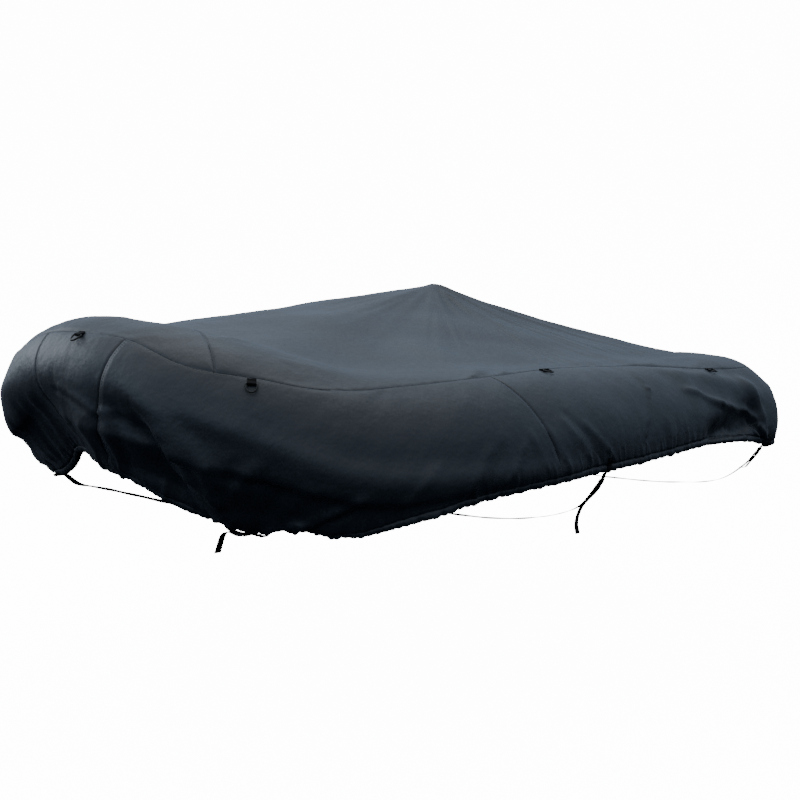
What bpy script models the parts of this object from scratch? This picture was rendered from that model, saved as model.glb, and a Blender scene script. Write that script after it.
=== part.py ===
"""Fitted cover, in the shape in which it is worn.

The cloth is rounded over both sides, which meet in a raised bow, and its top rises to a peak in a low tent.
Metres, +Z up, the bow towards -X, port towards -Y. The origin is on the underside of the peak.
"""
import math
from collections import namedtuple
from functools import lru_cache

import bmesh
import bpy
import numpy as np
from mathutils import Vector
from mathutils.bvhtree import BVHTree

# ---------------------------------------------------------------- driving sizes
CLOTH = 0.002                # thickness of the cloth
SEAM_GAP = 0.0008            # between the edges of two panels, at mid-thickness
TOUCH = 0.0004               # between two pieces that are sewn or hooked together

AXIS_DROP = 0.415            # axis of the rounded sides below the peak
HALF_BEAM = 0.575            # that axis to the centre line
NOSE_X = -1.204              # the axis at the nose
BOW_LENGTH = 0.858           # nose to where the sides run straight
BOW_BLUNTNESS = 2.2          # 2 is an ellipse, more is squarer
STERN_X = 0.856              # the axis across the stern
STERN_CORNER = 0.050         # radius of the axis at the stern corner

HEM_ROLL = 0.009             # radius of the gathered hem
HEM_TURN = 290.0             # degrees that the hem curls round
QUARTER_SEAM = (0.960, 1.060)    # distance from the nose, at the rim and at the hem
BOW_SEAM = (0.124, 0.052)    # upright seams, each side of the nose, at the rim and at the hem
CROSS_SEAM_AT = 0.310        # where the seam across the bow meets the rim
CROSS_SEAM_CROWN = 0.100    # how far it lies behind the axis on the centre line

PORT, STARBOARD = -1.0, 1.0

# Stations along one half of the rim, by distance from the nose along the axis. radius is the cloth's
# over the side. up and out move the section's centre off the axis. seam and hem are angles round the axis
# from its top, in degrees. slack is the straight cloth let in at the angle lean, and tuck is how far the
# cloth draws in under the side, as a share of the radius.
Station = namedtuple("Station", "at radius up out seam hem slack lean tuck")
STATIONS = [
    Station(0.000, 0.140, 0.180, 0.00, 38, 146, 0.080, 130, 0.08),
    Station(0.135, 0.148, 0.168, 0.00, 42, 146, 0.090, 130, 0.06),
    Station(0.260, 0.166, 0.131, 0.00, 53, 150, 0.100, 130, 0.03),
    Station(0.380, 0.188, 0.085, 0.00, 48, 152, 0.062, 130, 0.00),
    Station(0.480, 0.203, 0.042, 0.00, 43, 148, 0.018, 130, 0.00),
    Station(0.570, 0.211, 0.010, 0.00, 34, 132, 0.000, 110, 0.00),
    Station(0.680, 0.212, 0.000, 0.00, 26, 118, 0.000, 90, 0.00),
    Station(0.830, 0.212, 0.000, 0.00, 20, 109, 0.000, 90, 0.00),
    Station(1.000, 0.212, 0.000, 0.00, 14, 103, 0.000, 90, 0.00),
    Station(1.300, 0.212, 0.000, 0.00, 6, 100, 0.000, 90, 0.00),
    Station(1.600, 0.212, 0.000, 0.00, 10, 97, 0.000, 90, 0.00),
    Station(1.830, 0.212, 0.000, 0.00, 18, 94, 0.000, 90, 0.00),
    Station(2.020, 0.211, 0.000, 0.00, 25, 95, 0.000, 90, 0.00),
    Station(2.200, 0.210, 0.002, 0.00, 29, 100, 0.000, 90, 0.00),
    Station(2.360, 0.210, 0.006, 0.00, 30, 109, 0.000, 90, 0.02),
    Station(2.440, 0.206, 0.014, 0.01, 32, 112, 0.010, 90, 0.03),
    Station(2.560, 0.165, 0.042, 0.03, 38, 110, 0.050, 90, 0.00),
    Station(2.700, 0.105, 0.082, 0.09, 45, 108, 0.110, 90, 0.00),
    Station(3.000, 0.090, 0.092, 0.11, 45, 108, 0.125, 90, 0.00),
]

# The tent's run from the peak, by direction in degrees from the bow. foot is the height, above the side
# sides' axis, at which it crosses that axis, and sag how far it hangs below a straight line.
Direction = namedtuple("Direction", "angle foot sag")
TENT = [
    Direction(0, 0.276, 0.000),
    Direction(17, 0.245, 0.004),
    Direction(25, 0.208, 0.010),
    Direction(40, 0.200, 0.014),
    Direction(90, 0.206, 0.018),
    Direction(140, 0.200, 0.022),
    Direction(180, 0.180, 0.022),
]
TENT_BLEND = 0.012           # how softly the tent lands on the sides
TENT_OUTER_SLOPE = 0.9       # how steeply it would go on outside them
PEAK_ROUND = 0.030           # radius of the peak

# Soft folds on the side panels, between two places given by distance from the nose (to port, or to starboard
# where negative) and angle round the axis. rise is out of the cloth, or into it where negative.
Fold = namedtuple("Fold", "at0 deg0 at1 deg1 width rise")
SIDE_FOLDS = [
    Fold(0.30, 90, 1.10, 96, 0.030, 0.008),      # the rubbing strake under the cloth
    Fold(-0.30, 90, -1.10, 96, 0.030, 0.008),
    Fold(0.05, 150, 0.19, 150, 0.080, 0.052),    # hangs slack under the near bow
    Fold(-0.12, 130, -0.40, 140, 0.070, -0.030),    # drawn up under the far bow
    Fold(0.20, 96, 0.34, 140, 0.035, 0.014),     # ridge where the cloth turns under the bow
    Fold(0.16, 118, 0.24, 135, 0.035, -0.018),   # hollow in front of it
    Fold(0.42, 118, 0.50, 150, 0.035, -0.010),
    Fold(0.50, 136, 0.72, 118, 0.030, 0.008),
    Fold(1.80, 22, 2.20, 55, 0.040, 0.010),      # ridge pulled down to the stern strap
    Fold(2.20, 55, 2.27, 95, 0.030, 0.012),
    Fold(1.94, 86, 2.16, 76, 0.038, -0.020),     # hollow under it
    Fold(1.84, 40, 1.82, 80, 0.040, 0.006),
]

# D-rings along the rim, by distance from the nose, one at the nose and the others on both sides.
RING_STATIONS = (0.375, 1.212, 2.050)
RING_WIDTH = 0.030           # outside, along the seam
RING_DEPTH = 0.026           # outside, down from its bar
RING_WIRE = 0.0020           # radius
RING_CORNER = 0.002          # inside radius at the ends of its bar
RING_BELOW_SEAM = 0.018      # the bar, from the seam
RING_LOOP_HEM = 0.003        # the loop's sewn end stops this far short of the seam
WEBBING = 0.0015             # thickness of the webbing
WEBBING_WIDTH = 0.020
WRAP = RING_WIRE + TOUCH + WEBBING / 2    # radius at which webbing turns round a bar

# Belly straps, in the plane across the cover at a distance from the nose. Each pair is a run inwards and down:
# from the hem to the buckle, from there on inwards, and the two parts of the free end. deep and keel are
# how far under the sides' axis the strap crosses, at the sides and in the middle.
Strap = namedtuple("Strap", "name at buckle lead hang tip deep keel")
STRAPS = [
    Strap("bow", 0.385, (0.010, 0.004), (0.030, -0.004), (0.022, 0.008), (0.022, 0.050), 0.128, 0.124),
    Strap("middle", 1.280, (0.012, 0.026), (0.044, 0.052), (0.012, 0.044), (-0.006, 0.028), 0.185, 0.235),
    Strap("stern", 2.270, (0.010, 0.016), (0.020, 0.026), (0.012, 0.014), (0.018, 0.002), 0.185, 0.235),
]
TAB_LENGTH = 0.031           # webbing sewn to the cloth above the hem
SEWN_CLEAR = 0.0011          # between it and the cloth, which curves away under it
BUCKLE_WIDTH = 0.028
BUCKLE_BARS = (0.0015, 0.0110, 0.0210)    # its three bars, by distance down from its top edge
BAR = 0.0026                 # width and thickness of the bars
TAB_BACK = 0.010             # webbing doubled back at the top bar
LEAD_STRAIGHT = 0.016        # straight webbing below the middle bar
HULL_RUN = (0.88, 0.66, 0.33)    # where a strap's run underneath bends, as shares of half its span
HULL_END = 0.92              # the last of them on the starboard side

ACROSS = 20                  # cells across the top, twice the sum of STERN_CELLS
SIDE_CELLS = (13, 25, 3)     # cells from the cross seam to the quarter seam, on to the corner, and half round it
STERN_CELLS = (3, 7)         # cells over the rest of the corner, and to the middle of the stern
BOW_ROWS = 4
SKIRT_ROWS = 8
HEM_ROWS = 6
WIRE_SIDES = 6
RING_CELLS = 8               # cells round a ring's bow
TURN_STEPS = 6               # cells of webbing in half a turn round a bar
SEAT_REACH = 0.05            # how far off its smooth place the faceted cloth is looked for


# ---------------------------------------------------------------- the sides' axis and sections
def smooth_column(rows, key, column, at):
    """Read a table's column at a distance, as a smooth curve through its rows."""
    xs = np.array([getattr(row, key) for row in rows], float)
    ys = np.array([getattr(row, column) for row in rows], float)
    slopes = np.gradient(ys, xs)
    at = np.clip(at, xs[0], xs[-1])
    i = np.clip(np.searchsorted(xs, at) - 1, 0, len(xs) - 2)
    step = xs[i + 1] - xs[i]
    t = (at - xs[i]) / step
    return ((2 * t**3 - 3 * t**2 + 1) * ys[i] + (t**3 - 2 * t**2 + t) * step * slopes[i]
            + (3 * t**2 - 2 * t**3) * ys[i + 1] + (t**3 - t**2) * step * slopes[i + 1])


def axis_plan():
    """The starboard half of the sides' axis in plan, from the nose to the middle of the stern."""
    t = np.linspace(0, math.pi / 2, 240)
    power = 2 / BOW_BLUNTNESS
    bow_x = NOSE_X + BOW_LENGTH * (1 - np.cos(t) ** power)
    bow_y = HALF_BEAM * np.sin(t) ** power
    side_x = np.linspace(NOSE_X + BOW_LENGTH, STERN_X - STERN_CORNER, 120)
    turn = np.linspace(0, math.pi / 2, 24)
    corner_x = STERN_X - STERN_CORNER + STERN_CORNER * np.sin(turn)
    corner_y = HALF_BEAM - STERN_CORNER + STERN_CORNER * np.cos(turn)
    stern_y = np.linspace(HALF_BEAM - STERN_CORNER, 0, 60)
    x = np.concatenate([bow_x, side_x[1:], corner_x[1:], np.full(59, STERN_X)])
    y = np.concatenate([bow_y, np.full(119, HALF_BEAM), corner_y[1:], stern_y[1:]])
    at = np.concatenate([[0], np.cumsum(np.hypot(np.diff(x), np.diff(y)))])
    even = np.linspace(0, at[-1], 900)
    return even, np.interp(even, at, x), np.interp(even, at, y)


AXIS_AT, AXIS_X, AXIS_Y = axis_plan()
HALF_RIM = AXIS_AT[-1]


def station(column, at):
    return float(smooth_column(STATIONS, "at", column, at))


def axis_height(at):
    return station("up", at) - AXIS_DROP


def axis_frame(at, side):
    """Point on the axis and the level direction outward."""
    x = np.interp(at, AXIS_AT, AXIS_X)
    y = np.interp(at, AXIS_AT, AXIS_Y)
    ahead = np.interp(at + 0.02, AXIS_AT, AXIS_X) - np.interp(at - 0.02, AXIS_AT, AXIS_X)
    beside = np.interp(at + 0.02, AXIS_AT, AXIS_Y) - np.interp(at - 0.02, AXIS_AT, AXIS_Y)
    if at < 0.02:
        ahead, beside = 0.0, 1.0
    if at > HALF_RIM - 0.02:
        ahead, beside = 0.0, -1.0
    length = math.hypot(ahead, beside)
    out = Vector((-beside / length, side * ahead / length, 0))
    return Vector((x, side * y, axis_height(at))) + out * station("out", at), out


# ---------------------------------------------------------------- the top as a height above the plan
def dense_rim():
    """Angle about the peak, distance and height of the sides' axis, all round."""
    rows = []
    for at in np.linspace(0, HALF_RIM, 400):
        point, _ = axis_frame(at, STARBOARD)
        rows.append((math.atan2(point.y, -point.x), math.hypot(point.x, point.y), at, point.x, point.y))
    return np.array(rows)


RIM = dense_rim()


def tent_height(x, y):
    """The cloth stretched from the peak to the sides, in direction and distance from the peak."""
    angle = math.atan2(abs(y), -x)
    distance = math.hypot(x, y)
    reach = np.interp(angle, RIM[:, 0], RIM[:, 1])
    share = (math.hypot(distance, PEAK_ROUND) - PEAK_ROUND) / reach
    foot = smooth_column(TENT, "angle", "foot", math.degrees(angle)) - AXIS_DROP
    sag = smooth_column(TENT, "angle", "sag", math.degrees(angle))
    outside = max(0.0, distance - reach) * TENT_OUTER_SLOPE
    return CLOTH / 2 + foot * share - 4 * sag * share * (1 - share) - outside


def tube_height(x, y):
    """The top of the nearest side."""
    away = np.hypot(RIM[:, 3] - x, RIM[:, 4] - abs(y))
    nearest = int(np.argmin(away))
    at, gap = RIM[nearest, 2], away[nearest]
    radius = station("radius", at)
    inside = math.sqrt(max(radius * radius - gap * gap, 0))
    return axis_height(at) + inside - 3 * max(gap - radius, 0)


def top_height(x, y):
    tent, tube = tent_height(x, y), tube_height(x, y)
    return (tent + tube + math.hypot(tent - tube, TENT_BLEND)) / 2


@lru_cache(maxsize=None)
def rim_point(at, side):
    """The seam between the top and the side panels."""
    centre, out = axis_frame(at, side)
    angle = math.radians(station("seam", at))
    flat = centre + out * (station("radius", at) * math.sin(angle))
    return Vector((flat.x, flat.y, top_height(flat.x, flat.y)))


# ---------------------------------------------------------------- side panels
def fold_rise(at, degrees, side):
    """Sum of the soft folds at a place on the side panels."""
    radius = station("radius", at)
    signed = -side * at
    total = 0.0
    for fold in SIDE_FOLDS:
        start = Vector((fold.at0, math.radians(fold.deg0) * radius))
        run = Vector((fold.at1, math.radians(fold.deg1) * radius)) - start
        here = Vector((signed, math.radians(degrees) * radius)) - start
        share = here.dot(run) / run.length_squared
        off = abs(here.cross(run)) / run.length
        past = max(0.0, -share, share - 1) * run.length
        total += fold.rise * math.exp(-(off / fold.width) ** 2 - (past / (2 * fold.width)) ** 2)
    return total


def skirt_profile(at, side, share):
    """Place on the section at a station: share 0 is the rim seam and 1 the hem's start.

    Returns the point and the outward direction in the section."""
    radius = station("radius", at)
    seam = math.radians(station("seam", at))
    hem = math.radians(station("hem", at))
    slack = max(0.0, station("slack", at))
    lean = math.radians(station("lean", at))
    upper, lower = radius * (lean - seam), radius * (hem - lean)
    length = share * (upper + slack + lower)
    if length < upper:
        angle, straight = seam + length / radius, 0.0
    elif length < upper + slack:
        angle, straight = lean, length - upper
    else:
        angle, straight = lean + (length - upper - slack) / radius, slack
    turned = max(0.0, angle - math.pi / 2)
    away = radius * (1 - station("tuck", at) * (turned / (math.pi / 3)) ** 2)
    away += fold_rise(at, math.degrees(angle), side)
    centre, out = axis_frame(at, side)
    normal = out * math.sin(angle) + Vector((0, 0, math.cos(angle)))
    point = centre + normal * away
    point += (out * math.cos(lean) - Vector((0, 0, math.sin(lean)))) * straight
    lift = rim_point(at, side).z - (centre.z + radius * math.cos(seam))
    point.z += lift * (1 - share) ** 2
    return point, normal


def skirt_column(at_top, at_hem, side):
    """One column of a side panel, from the rim seam to the end of the curled hem."""
    column = []
    for row in range(SKIRT_ROWS + 1):
        share = row / SKIRT_ROWS
        at = at_top + (at_hem - at_top) * share
        point, normal = skirt_profile(at, side, share)
        column.append(point)
    level = Vector((normal.x, normal.y, 0)).normalized()
    down = level * normal.z - Vector((0, 0, 1)) * normal.dot(level)
    centre = column[-1] - normal * HEM_ROLL
    for row in range(1, HEM_ROWS + 1):
        turn = math.radians(HEM_TURN) * row / HEM_ROWS
        column.append(centre + normal * (HEM_ROLL * math.cos(turn)) + down * (HEM_ROLL * math.sin(turn)))
    return column


# ---------------------------------------------------------------- objects
COVER = bpy.data.collections.new("boat_cover")


def material(name, colour, roughness, metallic=0.0):
    """A plain Principled material."""
    mat = bpy.data.materials.new(name)
    mat.use_nodes = True
    shader = mat.node_tree.nodes["Principled BSDF"]
    shader.inputs["Base Color"].default_value = (*colour, 1)
    shader.inputs["Roughness"].default_value = roughness
    shader.inputs["Metallic"].default_value = metallic
    return mat


def add_object(name, mesh, mat):
    """Link a mesh to the cover's collection under its node's name."""
    mesh.materials.append(mat)
    piece = bpy.data.objects.new(name, mesh)
    COVER.objects.link(piece)
    mesh.shade_smooth()
    return piece


def cloth_panel(name, columns, mat):
    """A sheet through a grid of points, given its thickness by Solidify."""
    work = bmesh.new()
    grid = [[work.verts.new(point) for point in column] for column in columns]
    for left, right in zip(grid, grid[1:]):
        for i in range(len(left) - 1):
            work.faces.new((left[i], left[i + 1], right[i + 1], right[i]))
    bmesh.ops.remove_doubles(work, verts=work.verts, dist=0.00005)
    mesh = bpy.data.meshes.new(name)
    work.to_mesh(mesh)
    work.free()
    piece = add_object(name, mesh, mat)
    solid = piece.modifiers.new("thickness", "SOLIDIFY")
    solid.thickness = CLOTH
    solid.offset = 0
    return piece


def spaced(start, stop, cells):
    """Even distances, with both ends."""
    return [start + (stop - start) * k / cells for k in range(cells + 1)]


def inset(grid, gap, sides):
    """Pull a grid's named edges inwards by half a seam gap: first and last column, head and foot row."""
    moved = [[point.copy() for point in column] for column in grid]
    for column, source in zip(moved, grid):
        if "head" in sides:
            column[0] += (source[1] - source[0]).normalized() * gap
        if "foot" in sides:
            column[-1] += (source[-2] - source[-1]).normalized() * gap
    for name, edge, inner in (("first", 0, 1), ("last", -1, -2)):
        if name in sides:
            middle = len(grid[0]) // 2
            pointed = (grid[edge][0] - grid[edge][-1]).length < 1e-6
            for i in range(len(grid[edge])):
                if pointed:
                    moved[edge][i] = grid[edge][0] + (grid[inner][middle] - grid[edge][0]).normalized() * gap
                else:
                    moved[edge][i] += (grid[inner][i] - grid[edge][i]).normalized() * gap
    return moved


def skirt_panel(name, stations, mat):
    """A side panel through stations of (distance at the rim, distance at the hem, side)."""
    columns = [skirt_column(*station) for station in stations]
    return cloth_panel(name, inset(columns, SEAM_GAP / 2, ("head", "first", "last")), mat)


def coons(head, foot, first, last):
    """Grid between four edges: head and foot run across, first and last run from head to foot."""
    cols, rows = len(head) - 1, len(first) - 1
    grid = []
    for j in range(cols + 1):
        u = j / cols
        column = []
        for i in range(rows + 1):
            v = i / rows
            ruled = head[j] * (1 - v) + foot[j] * v + first[i] * (1 - u) + last[i] * u
            corners = (head[0] * (1 - u) + head[-1] * u) * (1 - v) + (foot[0] * (1 - u) + foot[-1] * u) * v
            point = ruled - corners
            if 0 < j < cols and 0 < i < rows:
                point.z = top_height(point.x, point.y)
            column.append(point)
        grid.append(column)
    return grid


# ---------------------------------------------------------------- stations shared by panels that meet
CORNER_END = HALF_RIM - (HALF_BEAM - STERN_CORNER)
CORNER_START = CORNER_END - STERN_CORNER * math.pi / 2
CORNER_MIDDLE = (CORNER_START + CORNER_END) / 2
BOW_ACROSS = [abs(CROSS_SEAM_AT * (2 * k / ACROSS - 1)) for k in range(ACROSS + 1)]


def rim_line(stations):
    """Rim points through (distance, side) pairs."""
    return [rim_point(at, side) for at, side in stations]


def side_of(k, count):
    return PORT if 2 * k < count else STARBOARD


def nose_stations():
    """Across the nose from port to starboard."""
    return [(BOW_ACROSS[k], side_of(k, ACROSS)) for k in range(ACROSS + 1)]


def stern_stations():
    """Across the stern from port to starboard."""
    half = spaced(CORNER_MIDDLE, CORNER_END, STERN_CELLS[0]) + spaced(CORNER_END, HALF_RIM, STERN_CELLS[1])[1:]
    return [(at, PORT) for at in half] + [(at, STARBOARD) for at in half[-2::-1]]


def side_stations():
    """Along a side, from the cross seam to the stern corner, with one at the quarter seam."""
    stops = (CROSS_SEAM_AT, QUARTER_SEAM[0], CORNER_START, CORNER_MIDDLE)
    places = [stops[0]]
    for start, stop, cells in zip(stops, stops[1:], SIDE_CELLS):
        places += spaced(start, stop, cells)[1:]
    return places


def cross_seam():
    """The seam over the bow, bowed back on the centre line."""
    port = rim_point(CROSS_SEAM_AT, PORT)
    points = []
    for k in range(ACROSS + 1):
        y = port.y * (1 - 2 * k / ACROSS)
        x = NOSE_X + CROSS_SEAM_CROWN + (port.x - NOSE_X - CROSS_SEAM_CROWN) * (y / port.y) ** 2
        points.append(Vector((x, y, top_height(x, y))))
    points[0], points[-1] = port, rim_point(CROSS_SEAM_AT, STARBOARD)
    return points


# ---------------------------------------------------------------- panels
def build_panels(cloth):
    nose, stern, side = nose_stations(), stern_stations(), side_stations()
    seam = cross_seam()
    port_rim = rim_line([(at, PORT) for at in side])
    starboard_rim = rim_line([(at, STARBOARD) for at in side])
    top = coons(seam, rim_line(stern), port_rim, starboard_rim)
    peak = min((point for column in top for point in column), key=lambda p: math.hypot(p.x, p.y))
    peak.xyz = (0, 0, top_height(0, 0))
    panels = [cloth_panel("top_panel", inset(top, SEAM_GAP / 2, ("head", "foot", "first", "last")), cloth)]

    corner = [seam[0]] * (BOW_ROWS + 1)
    other = [seam[-1]] * (BOW_ROWS + 1)
    bow_top = coons(rim_line(nose), seam, corner, other)
    panels.append(cloth_panel("bow_top_panel", inset(bow_top, SEAM_GAP / 2, ("head", "foot", "first", "last")),
                              cloth))

    nose_cells = [k for k in range(ACROSS + 1) if BOW_ACROSS[k] <= BOW_SEAM[0] + 0.001]
    narrowing = BOW_SEAM[1] / BOW_SEAM[0]
    around = [(nose[k][0], nose[k][0] * narrowing, nose[k][1]) for k in nose_cells]
    panels.append(skirt_panel("bow_panel", around, cloth))

    for label, way in (("port", PORT), ("starboard", STARBOARD)):
        bow_side = sorted(at for at, s in nose if at >= around[0][0] - 1e-6 and s == way)
        before = [at for at in side if at <= QUARTER_SEAM[0] + 1e-6]
        slant = QUARTER_SEAM[1] - QUARTER_SEAM[0]
        run = bow_side + before[1:]
        length = run[-1] - run[0]
        shares = [(at - run[0]) / length for at in run]
        stations = [(at, at + slant * share**2 - (BOW_SEAM[0] - BOW_SEAM[1]) * (1 - share) ** 4, way)
                    for at, share in zip(run, shares)]
        if way == PORT:
            stations.reverse()
        panels.append(skirt_panel("side_panel_" + label, stations, cloth))

    after = [at for at in side if at >= QUARTER_SEAM[0] - 1e-6]
    length = after[-1] - after[0]
    half = [(at, at + slant * (1 - (at - after[0]) / length) ** 2) for at in after]
    round_stern = [(a, b, STARBOARD) for a, b in half]
    round_stern += [(at, at, way) for at, way in stern[-2:0:-1]]
    round_stern += [(a, b, PORT) for a, b in reversed(half)]
    panels.append(skirt_panel("stern_panel", round_stern, cloth))
    return panels


# ---------------------------------------------------------------- rings and webbing
def band(name, path, across, mat):
    """Webbing along a path, with its width along the vector given for each place."""
    edges = [[point - way * (WEBBING_WIDTH / 2) for point, way in zip(path, across)],
             [point + way * (WEBBING_WIDTH / 2) for point, way in zip(path, across)]]
    piece = cloth_panel(name, edges, mat)
    piece.modifiers["thickness"].thickness = WEBBING
    return piece


def half_turn(centre, ahead, leaving):
    """Places half round a bar: ahead is the way to the bar, leaving the side on which the path goes back."""
    turns = [math.pi * k / TURN_STEPS for k in range(TURN_STEPS + 1)]
    return [centre + (ahead * math.sin(t) - leaving * math.cos(t)) * WRAP for t in turns]


def seat(surface, point, normal):
    """Where the cloth's outside is at a point, and its normal there."""
    place, facing, _, _ = surface.ray_cast(point + normal * SEAT_REACH, -normal, 2 * SEAT_REACH)
    return place, facing


def d_ring(name, surface, at, side, metal, webbing):
    """A D-ring in its folded loop of webbing, laid on the cloth under the rim seam."""
    radius = station("radius", at)
    share = RING_BELOW_SEAM / (radius * math.radians(station("hem", at) - station("seam", at)))
    point, normal = skirt_profile(at, side, share / 2)
    place, facing = seat(surface, point, normal)
    _, out = axis_frame(at, side)
    along = Vector((out.y, -out.x, 0))
    along = (along - facing * along.dot(facing)).normalized()
    down = along.cross(facing).normalized()
    if down.z > 0:
        down.negate()
    reach = RING_BELOW_SEAM / 2 - RING_LOOP_HEM
    rises = []
    for x in (-WEBBING_WIDTH / 2, WEBBING_WIDTH / 2):
        for y in (-reach, reach):
            under, _ = seat(surface, place + along * x + down * y, facing)
            rises.append((under - place).dot(facing))
    place += facing * max(0.0, *rises)
    bar = place + down * (RING_BELOW_SEAM / 2) + facing * (TOUCH + WEBBING / 2 + WRAP)
    sewn = place - down * reach
    under = sewn + facing * (TOUCH + WEBBING / 2)
    path = [under] + half_turn(bar, down, facing) + [under + facing * (WEBBING + TOUCH)]
    band("ring_loop_" + name, path, [along] * len(path), webbing)

    half, depth = RING_WIDTH / 2 - RING_WIRE, RING_DEPTH - 2 * RING_WIRE - RING_CORNER
    turns = [math.pi * k / RING_CELLS for k in range(RING_CELLS + 1)]
    shape = [(half - RING_CORNER, 0)]
    shape += [(half * math.cos(t), RING_CORNER + depth * math.sin(t)) for t in turns]
    shape.append((RING_CORNER - half, 0))
    wire_loop("ring_" + name, [bar + along * x + down * y for x, y in shape], facing, metal)


def wire_loop(name, points, normal, mat):
    """A closed wire through points that lie in a plane."""
    work = bmesh.new()
    rings = []
    for k, point in enumerate(points):
        tangent = points[(k + 1) % len(points)] - points[k - 1]
        beside = tangent.cross(normal).normalized()
        turns = [2 * math.pi * j / WIRE_SIDES for j in range(WIRE_SIDES)]
        rings.append([work.verts.new(point + (beside * math.cos(t) + normal * math.sin(t)) * RING_WIRE)
                      for t in turns])
    for k, ring in enumerate(rings):
        after = rings[(k + 1) % len(rings)]
        for j in range(WIRE_SIDES):
            around = (j + 1) % WIRE_SIDES
            work.faces.new((ring[j], ring[around], after[around], after[j]))
    bmesh.ops.recalc_face_normals(work, faces=work.faces)
    mesh = bpy.data.meshes.new(name)
    work.to_mesh(mesh)
    work.free()
    return add_object(name, mesh, mat)


def sewn_run(surface, at, side):
    """Webbing laid on the cloth and over the curled hem, from its sewn end down to the hem's lowest point."""
    length = (station("radius", at) * math.radians(station("hem", at) - station("seam", at))
              + max(0.0, station("slack", at)))
    places = [skirt_profile(at, side, 1 - back / length) for back in spaced(TAB_LENGTH, 0.0, 5)]
    point, normal = places[-1]
    middle_x = point.x
    _, out = axis_frame(at, side)
    down = out * normal.z - Vector((0, 0, 1)) * normal.dot(out)
    centre = point - normal * HEM_ROLL
    for turn in (math.radians(25), math.radians(50), math.radians(75)):
        way = normal * math.cos(turn) + down * math.sin(turn)
        places.append((centre + way * HEM_ROLL, way))
    path = []
    for point, normal in places:
        point.x, normal.x = middle_x, 0
        normal.normalize()
        hits = [seat(surface, point + Vector((shift, 0, 0)), normal)[0]
                for shift in spaced(-WEBBING_WIDTH / 2, WEBBING_WIDTH / 2, 4)]
        reach = max((hit - point).dot(normal) for hit in hits if hit is not None)
        path.append(point + normal * (reach + SEWN_CLEAR + WEBBING / 2))
    return path


def belly_strap(strap, surfaces, mat, plastic):
    """A short webbing with a buckle on the port side, and the long one that comes to it from starboard."""
    along = Vector((1, 0, 0))

    def run(pair):
        return Vector((0, pair[0], -pair[1]))

    tab = sewn_run(surfaces[PORT], strap.at, PORT)
    top = tab[-1] + run(strap.buckle)
    ahead = (run(strap.buckle).normalized() + run(strap.lead).normalized()).normalized()
    outer = along.cross(ahead).normalized()
    if outer.y + outer.z > 0:
        outer.negate()
    bars = [top + ahead * distance for distance in BUCKLE_BARS]
    turn = half_turn(bars[0], ahead, -outer)
    tab += turn + [turn[-1] - ahead * TAB_BACK]
    band("strap_tab_" + strap.name, tab, [along] * len(tab), mat)
    add_buckle("buckle_" + strap.name, top, along, ahead, plastic)

    turn = half_turn(bars[1], -ahead, outer)
    inner = [turn[0] + ahead * LEAD_STRAIGHT]
    inner.append(inner[-1] + run(strap.lead))
    free = [turn[-1] + ahead * LEAD_STRAIGHT]
    free.append(free[-1] + run(strap.lead))
    free.append(free[-1] + run(strap.hang))
    free.append(free[-1] + run(strap.tip))
    away = sewn_run(surfaces[STARBOARD], strap.at, STARBOARD)
    low, keel = -AXIS_DROP - strap.deep, -AXIS_DROP - strap.keel
    beam = -inner[-1].y
    depths = (low, (low + 2 * keel) / 3, keel)
    under = [Vector((tab[0].x, -share * beam, z)) for share, z in zip(HULL_RUN, depths)]
    under += [Vector((tab[0].x, share * beam, z)) for share, z in zip(HULL_RUN[:0:-1], depths[:0:-1])]
    under.append(Vector((tab[0].x, HULL_END * beam, low)))
    route = free[::-1] + turn[::-1] + inner + under + away[::-1]
    band("strap_" + strap.name, route, [along] * len(route), mat)


def add_buckle(name, top, along, ahead, mat):
    """A flat buckle with three bars, from its top edge on."""
    half = BUCKLE_WIDTH / 2
    across = (-half, -half + BAR, half - BAR, half)
    down = [distance + edge for distance in BUCKLE_BARS for edge in (-BAR / 2, BAR / 2)]
    work = bmesh.new()
    grid = [[work.verts.new(top + along * x + ahead * y) for y in down] for x in across]
    for i in range(len(across) - 1):
        for j in range(len(down) - 1):
            if i != 1 or j % 2 == 0:
                work.faces.new((grid[i][j], grid[i][j + 1], grid[i + 1][j + 1], grid[i + 1][j]))
    mesh = bpy.data.meshes.new(name)
    work.to_mesh(mesh)
    work.free()
    frame = add_object(name, mesh, mat).modifiers.new("thickness", "SOLIDIFY")
    frame.thickness = BAR
    frame.offset = 0


def build_fittings(panels, metal, webbing, plastic):
    """Rings on the nose and both sides, and the straps underneath."""
    depsgraph = bpy.context.evaluated_depsgraph_get()
    surface = {piece.name: BVHTree.FromObject(piece, depsgraph) for piece in panels}
    d_ring("nose", surface["bow_panel"], 0.0, PORT, metal, webbing)
    for label, way in (("port", PORT), ("starboard", STARBOARD)):
        for number, at in enumerate(RING_STATIONS, 1):
            panel = "stern_panel" if at > QUARTER_SEAM[1] else "side_panel_" + label
            d_ring(f"{label}_{number}", surface[panel], at, way, metal, webbing)
    for strap in STRAPS:
        aft = strap.at > QUARTER_SEAM[1]
        names = {PORT: "side_panel_port", STARBOARD: "side_panel_starboard"}
        belly_strap(strap, {way: surface["stern_panel" if aft else names[way]] for way in names},
                    webbing, plastic)


def clear_scene():
    for piece in list(bpy.data.objects):
        bpy.data.objects.remove(piece, do_unlink=True)


def main():
    clear_scene()
    bpy.context.scene.collection.children.link(COVER)
    cloth = material("cloth", (0.030, 0.036, 0.045), 0.62)
    webbing = material("webbing", (0.012, 0.012, 0.013), 0.75)
    metal = material("ring_metal", (0.055, 0.055, 0.058), 0.38, 0.9)
    plastic = material("buckle_plastic", (0.010, 0.010, 0.010), 0.45)
    panels = build_panels(cloth)
    build_fittings(panels, metal, webbing, plastic)


main()
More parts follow.
